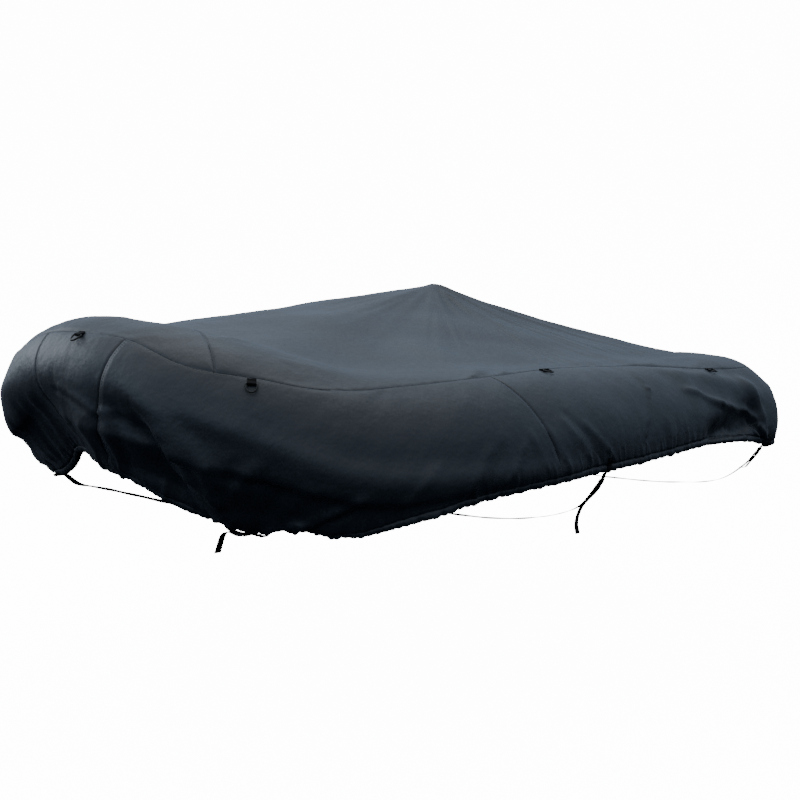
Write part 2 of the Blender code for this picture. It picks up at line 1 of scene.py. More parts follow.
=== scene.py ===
"""Looks for the fitted cover: fine cloth, seams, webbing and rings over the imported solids.

The surfaces repeat the part's own named sizes and tables at a finer grid, and add what the solids leave out:
puckered seams, tension creases, the gathered hem, stitches and the weave.
"""
import math
from collections import namedtuple

import bpy
import numpy as np
from mathutils import Matrix, Vector
from mathutils.bvhtree import BVHTree


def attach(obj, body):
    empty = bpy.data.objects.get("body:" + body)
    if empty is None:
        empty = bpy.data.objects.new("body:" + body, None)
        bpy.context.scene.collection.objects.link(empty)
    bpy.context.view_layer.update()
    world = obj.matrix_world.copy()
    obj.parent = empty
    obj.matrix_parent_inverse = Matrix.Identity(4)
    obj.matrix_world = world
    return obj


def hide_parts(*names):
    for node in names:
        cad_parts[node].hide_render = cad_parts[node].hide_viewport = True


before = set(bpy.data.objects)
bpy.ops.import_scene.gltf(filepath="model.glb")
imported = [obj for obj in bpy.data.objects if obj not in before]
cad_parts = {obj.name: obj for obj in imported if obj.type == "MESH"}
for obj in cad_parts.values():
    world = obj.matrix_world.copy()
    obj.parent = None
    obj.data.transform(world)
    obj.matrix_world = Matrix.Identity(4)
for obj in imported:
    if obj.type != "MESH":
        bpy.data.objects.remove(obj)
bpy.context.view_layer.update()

# ---------------------------------------------------------------- sizes, as in the part's source
CLOTH = 0.002
TOUCH = 0.0004
AXIS_DROP = 0.415
HALF_BEAM = 0.575
NOSE_X = -1.204
BOW_LENGTH = 0.858
BOW_BLUNTNESS = 2.2
STERN_X = 0.856
STERN_CORNER = 0.050
HEM_ROLL = 0.009
HEM_TURN = 290.0
QUARTER_SEAM = (0.960, 1.060)
BOW_SEAM = (0.124, 0.052)
CROSS_SEAM_AT = 0.310
CROSS_SEAM_CROWN = 0.100
PORT, STARBOARD = -1.0, 1.0
SHEET = 0.0012               # thickness of the cloth as seen

Station = namedtuple("Station", "at radius up out seam hem slack lean tuck")
STATIONS = [Station(*row) for row in (
    (0.000, 0.140, 0.180, 0.00, 38, 146, 0.080, 130, 0.08),
    (0.135, 0.148, 0.168, 0.00, 42, 146, 0.090, 130, 0.06),
    (0.260, 0.166, 0.131, 0.00, 53, 150, 0.100, 130, 0.03),
    (0.380, 0.188, 0.085, 0.00, 48, 152, 0.062, 130, 0.00),
    (0.480, 0.203, 0.042, 0.00, 43, 148, 0.018, 130, 0.00),
    (0.570, 0.211, 0.010, 0.00, 34, 132, 0.000, 110, 0.00),
    (0.680, 0.212, 0.000, 0.00, 26, 118, 0.000, 90, 0.00),
    (0.830, 0.212, 0.000, 0.00, 20, 109, 0.000, 90, 0.00),
    (1.000, 0.212, 0.000, 0.00, 14, 103, 0.000, 90, 0.00), (1.300, 0.212, 0.000, 0.00, 6, 100, 0.000, 90, 0.00),
    (1.600, 0.212, 0.000, 0.00, 10, 97, 0.000, 90, 0.00), (1.830, 0.212, 0.000, 0.00, 18, 94, 0.000, 90, 0.00),
    (2.020, 0.211, 0.000, 0.00, 25, 95, 0.000, 90, 0.00), (2.200, 0.210, 0.002, 0.00, 29, 100, 0.000, 90, 0.00),
    (2.360, 0.210, 0.006, 0.00, 30, 109, 0.000, 90, 0.02),
    (2.440, 0.206, 0.014, 0.01, 32, 112, 0.010, 90, 0.03),
    (2.560, 0.165, 0.042, 0.03, 38, 110, 0.050, 90, 0.00),
    (2.700, 0.105, 0.082, 0.09, 45, 108, 0.110, 90, 0.00),
    (3.000, 0.090, 0.092, 0.11, 45, 108, 0.125, 90, 0.00),
)]
Direction = namedtuple("Direction", "angle foot sag")
TENT = [
    Direction(0, 0.276, 0.000),
    Direction(17, 0.245, 0.004),
    Direction(25, 0.208, 0.010),
    Direction(40, 0.200, 0.014),
    Direction(90, 0.206, 0.018),
    Direction(140, 0.200, 0.022),
    Direction(180, 0.180, 0.022),
]
TENT_BLEND = 0.012
TENT_OUTER_SLOPE = 0.9
PEAK_ROUND = 0.030
RIM_FADE = 0.035             # how far under the rim the folds fade out
AXIS_STEP = 0.020            # over which the axis's direction is taken

Fold = namedtuple("Fold", "at0 deg0 at1 deg1 width rise")
SIDE_FOLDS = [Fold(*row) for row in (
    (0.30, 90, 1.10, 96, 0.030, 0.008), (-0.30, 90, -1.10, 96, 0.030, 0.008),
    (0.05, 150, 0.19, 150, 0.080, 0.052), (-0.12, 130, -0.40, 140, 0.070, -0.030),
    (0.20, 96, 0.34, 140, 0.035, 0.014), (0.16, 118, 0.24, 135, 0.035, -0.018),
    (0.42, 118, 0.50, 150, 0.035, -0.010), (0.50, 136, 0.72, 118, 0.030, 0.008),
    (1.80, 22, 2.20, 55, 0.040, 0.010), (2.20, 55, 2.27, 95, 0.030, 0.012), (1.94, 86, 2.16, 76, 0.038, -0.020),
    (1.84, 40, 1.82, 80, 0.040, 0.006),
)]

RING_STATIONS = (0.375, 1.212, 2.050)
RING_WIDTH = 0.030
RING_DEPTH = 0.026
RING_WIRE = 0.0020
RING_BELOW_SEAM = 0.018
WEBBING = 0.0015
WEBBING_WIDTH = 0.020
WRAP = RING_WIRE + TOUCH + WEBBING / 2

Strap = namedtuple("Strap", "name at buckle lead hang tip deep keel")
STRAPS = [
    Strap("bow", 0.385, (0.010, 0.004), (0.030, -0.004), (0.022, 0.008), (0.022, 0.050), 0.128, 0.124),
    Strap("middle", 1.280, (0.012, 0.026), (0.044, 0.052), (0.012, 0.044), (-0.006, 0.028), 0.185, 0.235),
    Strap("stern", 2.270, (0.010, 0.016), (0.020, 0.026), (0.012, 0.014), (0.018, 0.002), 0.185, 0.235),
]
TAB_LENGTH = 0.031
SEWN_CLEAR = 0.0006
BUCKLE_WIDTH = 0.028
BUCKLE_BARS = (0.0015, 0.0110, 0.0210)
BAR = 0.0026
TAB_BACK = 0.010
LEAD_STRAIGHT = 0.016
HULL_RUN = (0.88, 0.66, 0.33)
HULL_END = 0.92


# ---------------------------------------------------------------- tables and the axis of the sides
def curve(rows, key, column, at):
    """A table's column as a smooth curve through its rows."""
    xs = np.array([getattr(row, key) for row in rows], float)
    ys = np.array([getattr(row, column) for row in rows], float)
    slopes = np.gradient(ys, xs)
    at = np.clip(at, xs[0], xs[-1])
    i = np.clip(np.searchsorted(xs, at) - 1, 0, len(xs) - 2)
    step = xs[i + 1] - xs[i]
    t = (at - xs[i]) / step
    return ((2 * t**3 - 3 * t**2 + 1) * ys[i] + (t**3 - 2 * t**2 + t) * step * slopes[i]
            + (3 * t**2 - 2 * t**3) * ys[i + 1] + (t**3 - t**2) * step * slopes[i + 1])


def station(column, at):
    return curve(STATIONS, "at", column, at)


def axis_plan():
    t = np.linspace(0, math.pi / 2, 240)
    power = 2 / BOW_BLUNTNESS
    bow_x = NOSE_X + BOW_LENGTH * (1 - np.cos(t) ** power)
    bow_y = HALF_BEAM * np.sin(t) ** power
    side_x = np.linspace(NOSE_X + BOW_LENGTH, STERN_X - STERN_CORNER, 120)
    turn = np.linspace(0, math.pi / 2, 24)
    corner_x = STERN_X - STERN_CORNER + STERN_CORNER * np.sin(turn)
    corner_y = HALF_BEAM - STERN_CORNER + STERN_CORNER * np.cos(turn)
    stern_y = np.linspace(HALF_BEAM - STERN_CORNER, 0, 60)
    x = np.concatenate([bow_x, side_x[1:], corner_x[1:], np.full(59, STERN_X)])
    y = np.concatenate([bow_y, np.full(119, HALF_BEAM), corner_y[1:], stern_y[1:]])
    at = np.concatenate([[0], np.cumsum(np.hypot(np.diff(x), np.diff(y)))])
    even = np.linspace(0, at[-1], 900)
    return even, np.interp(even, at, x), np.interp(even, at, y)


AXIS_AT, AXIS_X, AXIS_Y = axis_plan()
HALF_RIM = AXIS_AT[-1]
CORNER_END = HALF_RIM - (HALF_BEAM - STERN_CORNER)
CORNER_MIDDLE = (CORNER_END - STERN_CORNER * math.pi / 2 + CORNER_END) / 2


def axis_frame(at, side):
    """Points on the axis and the level directions outward."""
    at = np.asarray(at, float)
    side = np.broadcast_to(np.asarray(side, float), at.shape)
    x, y = np.interp(at, AXIS_AT, AXIS_X), np.interp(at, AXIS_AT, AXIS_Y)
    ahead, beside = (np.interp(at + AXIS_STEP, AXIS_AT, table) - np.interp(at - AXIS_STEP, AXIS_AT, table)
                     for table in (AXIS_X, AXIS_Y))
    near_nose, near_stern = at < AXIS_STEP, at > HALF_RIM - AXIS_STEP
    # the last stretch eases to square with the centre line, so both sides meet without a kink
    ahead = np.where(near_nose | near_stern, ahead * 0, ahead)
    beside = np.where(near_nose, 1.0, np.where(near_stern, -1.0, beside))
    length = np.hypot(ahead, beside)
    out = np.stack([-beside / length, side * ahead / length, np.zeros_like(x)], -1)
    centre = np.stack([x, side * y, station("up", at) - AXIS_DROP], -1)
    return centre + out * station("out", at)[..., None], out


RIM_AT = np.linspace(0, HALF_RIM, 900)
RIM_XY = axis_frame(RIM_AT, STARBOARD)[0][:, :2]
RIM_ANGLE = np.arctan2(RIM_XY[:, 1], -RIM_XY[:, 0])
RIM_REACH = np.hypot(RIM_XY[:, 0], RIM_XY[:, 1])
RIM_RADIUS = station("radius", RIM_AT)
RIM_UP = station("up", RIM_AT) - AXIS_DROP


def top_height(x, y):
    """Height of the top over the plan: the stretched tent or the round sides, whichever is higher, softly."""
    x, y = np.asarray(x, float), np.asarray(y, float)
    shape = x.shape
    x, y = x.ravel(), np.abs(y.ravel())
    angle, distance = np.arctan2(y, -x), np.hypot(x, y)
    reach = np.interp(angle, RIM_ANGLE, RIM_REACH)
    share = (np.hypot(distance, PEAK_ROUND) - PEAK_ROUND) / reach
    foot = curve(TENT, "angle", "foot", np.degrees(angle)) - AXIS_DROP
    sag = curve(TENT, "angle", "sag", np.degrees(angle))
    tent = CLOTH / 2 + foot * share - 4 * sag * share * (1 - share)
    tent -= np.maximum(0, distance - reach) * TENT_OUTER_SLOPE
    tube = np.empty_like(x)
    for start in range(0, len(x), 4000):
        part = slice(start, start + 4000)
        away = np.hypot(RIM_XY[None, :, 0] - x[part, None], RIM_XY[None, :, 1] - y[part, None])
        nearest = away.argmin(1)
        gap = away[np.arange(len(nearest)), nearest]
        radius = RIM_RADIUS[nearest]
        tube[part] = RIM_UP[nearest] + np.sqrt(np.maximum(radius**2 - gap**2, 0)) - 3 * np.maximum(gap - radius, 0)
    height = (tent + tube + np.hypot(tent - tube, TENT_BLEND)) / 2
    return height.reshape(shape)


def rim_points(at, side):
    centre, out = axis_frame(at, side)
    angle = np.radians(station("seam", at))
    flat = centre + out * (station("radius", at) * np.sin(angle))[..., None]
    flat[..., 2] = top_height(flat[..., 0], flat[..., 1])
    return flat


def beside_line(x, y, start_x, start_y, run_x, run_y):
    """How far along a line places are, as a share of it, how far beside it, and how far past its ends."""
    off_x, off_y = x - start_x, y - start_y
    length = np.hypot(run_x, run_y)
    share = (off_x * run_x + off_y * run_y) / length**2
    past = np.maximum(0, np.maximum(-share, share - 1)) * length
    return share, (off_x * run_y - off_y * run_x) / length, past


def folds(signed, degrees):
    """Sum of soft folds at places given by signed distance from the nose and angle round the axis."""
    radius = station("radius", np.abs(signed))
    total = np.zeros_like(signed)
    for fold in SIDE_FOLDS:
        start, end = np.radians(fold.deg0) * radius, np.radians(fold.deg1) * radius
        _, off, past = beside_line(signed, np.radians(degrees) * radius, fold.at0, start,
                                   fold.at1 - fold.at0, end - start)
        total += fold.rise * np.exp(-(off / fold.width) ** 2 - (past / (2 * fold.width)) ** 2)
    return total


def skirt_length(at):
    turn = np.radians(station("hem", at) - station("seam", at))
    return station("radius", at) * turn + np.maximum(0, station("slack", at))


def skirt_points(at, side, share):
    """Places on the skirt and the outward direction there."""
    at, share = np.broadcast_arrays(np.asarray(at, float), np.asarray(share, float))
    side = np.broadcast_to(np.asarray(side, float), at.shape)
    radius = station("radius", at)
    seam, hem, lean = (np.radians(station(c, at)) for c in ("seam", "hem", "lean"))
    slack = np.maximum(0, station("slack", at))
    upper, lower = radius * (lean - seam), radius * (hem - lean)
    length = share * (upper + slack + lower)
    angle = np.where(length < upper, seam + length / radius,
                     np.where(length < upper + slack, lean, lean + (length - upper - slack) / radius))
    straight = np.clip(length - upper, 0, slack)
    turned = np.maximum(0, angle - math.pi / 2)
    away = radius * (1 - station("tuck", at) * (turned / (math.pi / 3)) ** 2)
    # the folds fade out at the rim, where the seam holds the cloth
    away = away + folds(-side * at, np.degrees(angle)) * (1 - np.exp(-(length / RIM_FADE) ** 2))
    centre, out = axis_frame(at, side)
    up = np.array([0, 0, 1.0])
    normal = out * np.sin(angle)[..., None] + up * np.cos(angle)[..., None]
    point = centre + normal * away[..., None]
    point += (out * np.cos(lean)[..., None] - up * np.sin(lean)[..., None]) * straight[..., None]
    lift = rim_points(at, side)[..., 2] - (centre[..., 2] + radius * np.cos(seam))
    point[..., 2] += lift * (1 - share) ** 2
    return point, normal


# ---------------------------------------------------------------- fine relief
def wander(along, wave, seed, harmonics=4):
    """A smooth irregular wave in -1..1 with a mean wavelength, the same on every run."""
    draw = np.random.default_rng(seed)
    total, weight = np.zeros_like(np.asarray(along, float)), 0.0
    for _ in range(harmonics):
        scale = draw.uniform(0.72, 1.5)
        phase, drift_phase = draw.uniform(0, 2 * math.pi, 2)
        drift = 0.9 * np.sin(along * 2 * math.pi / (wave * draw.uniform(5, 9)) + drift_phase)
        size = draw.uniform(0.6, 1.0)
        total = total + size * np.sin(2 * math.pi * along / (wave * scale) + phase + drift)
        weight += size
    return total / weight


def patchy(x, y, wave, seed, count=7):
    """Smooth irregular relief over a surface, in about -1..1."""
    draw = np.random.default_rng(seed)
    total = np.zeros_like(np.asarray(x, float))
    for _ in range(count):
        way, phase = draw.uniform(0, 2 * math.pi, 2)
        scale = draw.uniform(0.6, 1.6)
        total = total + np.sin((x * math.cos(way) + y * math.sin(way)) * 2 * math.pi / (wave * scale) + phase)
    return total / math.sqrt(count)


# Creases on the skirt, between two places given by signed distance from the nose and distance down from the
# rim seam.
Crease = namedtuple("Crease", "at0 down0 at1 down1 width rise")
CREASES = [Crease(*row) for row in (
    # the nose
    (-0.048, 0.100, -0.039, 0.156, 0.006, -0.0030), (-0.039, 0.156, 0.068, 0.193, 0.006, -0.0032),
    (-0.015, 0.150, 0.072, 0.180, 0.009, 0.0030), (0.068, 0.193, 0.160, 0.166, 0.006, 0.0042),
    (0.085, 0.200, 0.066, 0.300, 0.009, -0.0063), (0.108, 0.200, 0.096, 0.320, 0.009, 0.0063),
    (0.132, 0.190, 0.122, 0.330, 0.009, -0.0069), (0.030, 0.230, 0.020, 0.330, 0.009, 0.0050),
    (-0.030, 0.240, -0.060, 0.330, 0.009, -0.0050),
    # under the near bow
    (0.160, 0.178, 0.230, 0.158, 0.005, 0.0032), (0.226, 0.168, 0.250, 0.195, 0.009, 0.0088),
    (0.250, 0.195, 0.268, 0.253, 0.009, 0.0094), (0.268, 0.253, 0.315, 0.300, 0.009, 0.0088),
    (0.190, 0.200, 0.222, 0.310, 0.025, -0.0163), (0.391, 0.195, 0.320, 0.312, 0.009, 0.0069),
    (0.353, 0.200, 0.326, 0.300, 0.008, -0.0075), (0.302, 0.215, 0.314, 0.310, 0.009, 0.0075),
    (0.415, 0.385, 0.471, 0.352, 0.011, 0.0106), (0.471, 0.352, 0.552, 0.268, 0.010, 0.0100),
    (0.440, 0.392, 0.540, 0.300, 0.009, -0.0075), (0.430, 0.260, 0.400, 0.340, 0.011, -0.0063),
    (0.470, 0.250, 0.440, 0.330, 0.009, 0.0050),
    # along the side
    (0.700, 0.230, 0.640, 0.290, 0.009, 0.0039), (0.830, 0.220, 0.780, 0.290, 0.007, 0.0039),
    (0.870, 0.215, 0.830, 0.290, 0.007, -0.0036), (0.935, 0.225, 0.880, 0.290, 0.006, 0.0042),
    (0.965, 0.200, 1.000, 0.285, 0.006, 0.0039), (1.030, 0.200, 1.080, 0.300, 0.007, 0.0042),
    (1.090, 0.190, 1.190, 0.310, 0.006, 0.0039), (1.110, 0.170, 1.240, 0.315, 0.006, -0.0033),
    (1.180, 0.215, 1.300, 0.320, 0.007, 0.0042), (1.584, 0.130, 1.467, 0.271, 0.005, 0.0051),
    (1.467, 0.271, 1.451, 0.335, 0.005, 0.0051), (1.600, 0.060, 1.584, 0.130, 0.007, 0.0033),
    (1.560, 0.150, 1.480, 0.270, 0.008, -0.0039), (1.610, 0.228, 1.616, 0.320, 0.006, 0.0039),
    (1.715, 0.222, 1.717, 0.290, 0.006, 0.0039), (1.660, 0.240, 1.650, 0.320, 0.006, -0.0033),
    # pulled down to the stern strap
    (1.806, 0.120, 1.962, 0.150, 0.011, 0.0080), (1.962, 0.150, 2.157, 0.163, 0.011, 0.0098),
    (2.157, 0.163, 2.196, 0.183, 0.009, 0.0092), (2.196, 0.183, 2.274, 0.274, 0.007, 0.0103),
    (2.160, 0.190, 2.245, 0.280, 0.006, 0.0063), (2.178, 0.188, 2.260, 0.280, 0.005, -0.0069),
    (1.930, 0.245, 2.170, 0.212, 0.031, -0.0196), (2.100, 0.230, 2.200, 0.285, 0.007, 0.0041),
    (2.020, 0.235, 2.110, 0.290, 0.007, 0.0037), (2.240, 0.110, 2.290, 0.270, 0.011, -0.0046),
    (2.330, 0.100, 2.300, 0.280, 0.011, 0.0052),
)]


def far_creases():
    """A looser set of the same kind for the starboard side and the stern."""
    draw = np.random.default_rng(41)
    rows = [Crease(-1.72, 0.08, -2.16, 0.16, 0.011, 0.0045), Crease(-2.16, 0.16, -2.275, 0.275, 0.009, 0.0065),
            Crease(-2.14, 0.19, -2.25, 0.28, 0.008, -0.0045), Crease(-0.16, 0.17, -0.19, 0.32, 0.012, 0.0045),
            Crease(-0.24, 0.17, -0.28, 0.32, 0.012, -0.0050), Crease(-0.33, 0.19, -0.35, 0.33, 0.010, 0.0050),
            Crease(-0.45, 0.38, -0.56, 0.27, 0.012, 0.0070)]
    for at in np.arange(0.62, 2.15, 0.13):
        at += draw.uniform(-0.05, 0.05)
        low = float(skirt_length(np.array([at]))[0])
        rows.append(Crease(-at, low - draw.uniform(0.07, 0.16), -at + draw.uniform(-0.04, 0.04), low,
                           draw.uniform(0.006, 0.009), draw.uniform(0.0016, 0.0032)))
    for at in np.arange(2.46, 2.95, 0.09):
        for way in (-1, 1):
            place = way * (at + draw.uniform(-0.03, 0.03))
            rows.append(Crease(place, draw.uniform(0.05, 0.14), place + draw.uniform(-0.04, 0.04), 0.25,
                               draw.uniform(0.009, 0.014), draw.uniform(-0.004, 0.005)))
    return rows


CREASES += far_creases()


def hand_creases(signed, down):
    """Sum of the creases, each sharp along its line and fading at its ends."""
    total = np.zeros_like(signed)
    for crease in CREASES:
        share, off, past = beside_line(signed, down, crease.at0, crease.down0,
                                       crease.at1 - crease.at0, crease.down1 - crease.down0)
        off = np.abs(off + 0.15 * crease.width * np.sin(share * 9 + crease.at0 * 40))
        total += crease.rise * np.exp(-(off / crease.width) ** 1.6 - (past / (2.2 * crease.width)) ** 2)
    return total


# The edge that is pushed out under the bow, above which the cloth faces the sky.
Edge = namedtuple("Edge", "at down rise")
PUSHED_EDGE = [Edge(0.200, 0.180, 0.0), Edge(0.334, 0.212, 0.013), Edge(0.495, 0.238, 0.017),
               Edge(0.609, 0.275, 0.014), Edge(0.800, 0.290, 0.007), Edge(1.000, 0.300, 0.0)]


def pushed_edge(at, down):
    past = down - curve(PUSHED_EDGE, "at", "down", at)
    return curve(PUSHED_EDGE, "at", "rise", at) * np.exp(-(past / np.where(past < 0, 0.060, 0.013)) ** 2)


def strain_lines(running, above_hem):
    """Short wrinkles that run up from the gathered hem, at irregular places."""
    draw = np.random.default_rng(12)
    total = np.zeros_like(running)
    at = -QUARTER_SEAM[1]
    while at < 2 * HALF_RIM:
        at += draw.uniform(0.012, 0.040)
        lean, reach = draw.uniform(-0.55, 0.55), draw.uniform(0.030, 0.120)
        width, rise = draw.uniform(0.0035, 0.0065), draw.uniform(0.0012, 0.0040)
        off = running - at - lean * above_hem
        total += rise * np.exp(-(off / (width * (1 + above_hem * 6))) ** 2) * np.exp(-(above_hem / reach) ** 2)
    return total


CASING_LINE, CASING_DEPTH = 0.0115, 0.0034    # the stitched line over the hem
GROOVE_DEPTH, GROOVE_WIDTH = 0.0016, 0.0045    # the dip along a seam
GROOVE_CALM = 0.010          # how far from a seam the cloth's own relief is back
# Puckers that run out from a seam or the hem and fade: reach is where they have faded to a third.
Ripple = namedtuple("Ripple", "wave seed lean height reach")
RIM_RIPPLES = [Ripple(0.021, 3, 0, 0.0014, 0.020), Ripple(0.060, 5, 0.4, 0.0014, 0.050)]
HEM_RIPPLES = [Ripple(0.0135, 8, 0, 0.0018, 0.014), Ripple(0.034, 9, 0.1, 0.0028, 0.038)]
TOP_RIPPLES = [Ripple(0.023, 31, 0, 0.0010, 0.016), Ripple(0.070, 33, 0.3, 0.0014, 0.060)]


def ripples(along, away, rows):
    return sum(wander(along + row.lean * away, row.wave, row.seed) * row.height * np.exp(-away / row.reach)
               for row in rows)


def seam_groove(away):
    """The dip beside a seam, and the share of the cloth's own relief that is left beside it."""
    return -GROOVE_DEPTH * np.exp(-(away / GROOVE_WIDTH) ** 2), 1 - np.exp(-(away / GROOVE_CALM) ** 2)


def skirt_relief(running, signed, below_seam, above_hem, settle):
    """How far the skirt's cloth stands off its smooth shape.

    running is the distance one way round, and signed the distance from the nose, to starboard where negative.
    settle takes out what depends on running where the two ends of that distance meet."""
    pucker, gather = ripples(running, below_seam, RIM_RIPPLES), ripples(running, above_hem, HEM_RIPPLES)
    broad = patchy(running, below_seam, 0.24, 17) * 0.0016 + patchy(running, below_seam, 0.10, 19) * 0.0005
    casing = 0.0018 * np.exp(-(above_hem / 0.0065) ** 2)
    casing -= CASING_DEPTH * np.exp(-((above_hem - CASING_LINE) / 0.0026) ** 2)
    groove, share = seam_groove(below_seam)
    return groove + casing + share * (settle * (pucker + gather + broad + strain_lines(running, above_hem))
                                      + pushed_edge(np.abs(signed), below_seam) + hand_creases(signed, below_seam))


# Creases in the top, from one place in the plan to another. Some run out from the peak.
Line = namedtuple("Line", "x0 y0 x1 y1 width rise")
TOP_LINES = [Line(*row) for row in (
    (-0.015, -0.050, -0.017, -0.274, 0.007, 0.0040), (-0.017, -0.274, -0.138, -0.517, 0.006, 0.0036),
    (-0.040, -0.060, -0.060, -0.274, 0.009, -0.0024), (0.020, -0.030, 0.390, -0.376, 0.007, 0.0030),
    (0.020, -0.025, 0.477, -0.474, 0.007, 0.0032), (0.025, -0.020, 0.620, -0.430, 0.009, 0.0028),
    (0.020, -0.040, 0.290, -0.480, 0.008, 0.0026), (0.015, -0.045, 0.160, -0.520, 0.007, -0.0022),
    (0.030, -0.010, 0.800, -0.260, 0.012, 0.0026), (-0.030, -0.030, -0.520, -0.460, 0.012, 0.0026),
    (-0.035, -0.020, -0.700, -0.330, 0.010, 0.0022), (-0.040, -0.010, -0.850, -0.200, 0.014, 0.0022),
    (-0.040, 0.010, -0.820, 0.240, 0.014, 0.0022), (-0.030, 0.030, -0.460, 0.480, 0.012, 0.0024),
    (0.000, 0.040, 0.050, 0.520, 0.008, 0.0030), (0.020, 0.030, 0.550, 0.500, 0.009, 0.0030),
    (0.030, 0.020, 0.780, 0.340, 0.012, 0.0024), (0.040, 0.000, 0.900, -0.020, 0.014, 0.0024),
    (-0.600, -0.610, -0.516, -0.571, 0.010, 0.0050), (-0.570, -0.630, -0.470, -0.590, 0.007, -0.0034),
    (-0.560, -0.590, -0.440, -0.520, 0.009, 0.0030), (-0.460, -0.600, -0.380, -0.540, 0.008, 0.0026),
    (-1.060, -0.440, -0.960, -0.500, 0.010, 0.0030), (-1.120, -0.300, -1.000, -0.330, 0.012, 0.0026),
    (0.300, -0.610, 0.620, -0.560, 0.012, 0.0028), (0.550, -0.640, 0.860, -0.520, 0.014, 0.0030),
    (0.480, 0.600, 0.840, 0.500, 0.013, 0.0030),
)]


def top_relief(x, y, from_rim):
    """How far the top's cloth stands off its smooth shape."""
    total = np.zeros_like(x)
    for line in TOP_LINES:
        share, off, past = beside_line(x, y, line.x0, line.y0, line.x1 - line.x0, line.y1 - line.y0)
        within = np.clip(share, 0, 1)
        fade, width = 1 - 0.6 * within, line.width * (1 + 1.2 * within)
        total += line.rise * fade * np.exp(-(off / width) ** 2 - (past / (3 * line.width)) ** 2)
    distance, angle = np.hypot(x, y), np.arctan2(y, x)
    fan = wander(angle * 0.35, 0.075, 23) * 0.0020 * np.exp(-((distance - 0.16) / 0.18) ** 2)
    fan += wander(angle * 0.35, 0.026, 25) * 0.0014 * np.exp(-((distance - 0.35) / 0.22) ** 2)
    fan *= np.clip(distance / 0.05, 0, 1)
    along = x + y * (np.clip(x / 0.8, 0, 1) - np.clip(-(x + 0.6) / 0.5, 0, 1)) * np.sign(y)
    broad = patchy(x, y, 0.30, 37) * 0.0022 + patchy(x, y, 0.11, 39) * 0.0005
    groove, share = seam_groove(from_rim)
    return groove + share * (total + fan + ripples(along, from_rim, TOP_RIPPLES) + broad)


# ---------------------------------------------------------------- meshes
INSIDE = np.array([-0.1, 0, -0.42])    # a place under the cover, from which every panel faces away


def make_mesh(name, points, faces, uvs, materials, smooth=True, centre=INSIDE):
    """A mesh object from points, polygons and a flat place in metres for each point, facing away from a centre."""
    points = np.asarray(points, float)
    corners = np.array([f[:3] for f in faces])
    a, b, c = points[corners[:, 0]], points[corners[:, 1]], points[corners[:, 2]]
    if (np.cross(b - a, c - a) * (a - centre)).sum() < 0:
        faces = [f[::-1] for f in faces]
    mesh = bpy.data.meshes.new(name)
    mesh.from_pydata(points.tolist(), [], [[int(i) for i in f] for f in faces])
    if uvs is not None:
        layer = mesh.uv_layers.new(name="flat")
        corner = np.empty(len(mesh.loops), int)
        mesh.loops.foreach_get("vertex_index", corner)
        layer.data.foreach_set("uv", np.asarray(uvs, float)[corner].ravel())
    for mat in materials:
        mesh.materials.append(mat)
    piece = bpy.data.objects.new(name, mesh)
    bpy.context.scene.collection.objects.link(piece)
    if smooth:
        mesh.shade_smooth()
    return piece


def grid_faces(columns, rows, first=0):
    i, j = np.meshgrid(np.arange(columns - 1), np.arange(rows - 1), indexing="ij")
    a = first + i * rows + j
    return np.stack([a, a + 1, a + rows + 1, a + rows], -1).reshape(-1, 4)


def grid_normals(points, towards):
    """Unit normals of a grid, on the same side as the directions given."""
    along, down = np.gradient(points, axis=0), np.gradient(points, axis=1)
    normal = np.cross(along, down)
    normal /= np.linalg.norm(normal, axis=-1, keepdims=True) + 1e-12
    flip = np.sign((normal * towards).sum(-1, keepdims=True))
    return normal * np.where(flip == 0, 1, flip)


def thicken(piece, thickness, inner_slot=0):
    solid = piece.modifiers.new("thickness", "SOLIDIFY")
    solid.thickness = thickness
    solid.offset = 0
    if inner_slot:
        solid.material_offset = inner_slot


def round_edges(piece, width, segments, angle):
    soften = piece.modifiers.new("edges", "BEVEL")
    soften.width, soften.segments, soften.limit_method, soften.angle_limit = width, segments, "ANGLE", angle


def dress(piece, node):
    """Hides the solid that a piece stands in for and adds the piece to the cover's pieces."""
    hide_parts(node)
    pieces.append(piece)


def graded(length, cell, head, foot):
    """Shares along a length, in even cells, with finer ones at the ends that meet a seam."""
    close = np.array([0.0, 0.0015, 0.0032, 0.0055, 0.0090])
    start = close if head else close[:1]
    stop = length - (close if foot else close[:1])[::-1]
    cells = max(2, int(round((stop[0] - start[-1]) / cell)))
    return np.concatenate([start[:-1], np.linspace(start[-1], stop[0], cells + 1), stop[1:]]) / length


def run_length(points):
    """Distance along each column of a grid, from its head."""
    step = np.linalg.norm(np.diff(points, axis=1), axis=-1)
    return np.concatenate([np.zeros((len(points), 1)), np.cumsum(step, axis=1)], axis=1)


HEM_BAND = 0.050             # height over the roll that gets the finest mesh
ROLL_ROWS = 13
BAND_STEPS = (0.050, 0.041, 0.033, 0.026, 0.0205, 0.0170, 0.0145, 0.0125, 0.0105, 0.0085, 0.0060, 0.0030, 0.0)
FINE = 4                     # fine columns to each coarse one
COLUMN, ROW = 0.0095, 0.0080     # the broad grid's cells
STERN_COLUMN = 0.0136
TOP_CELL, BOW_CELL = 0.0082, 0.0070


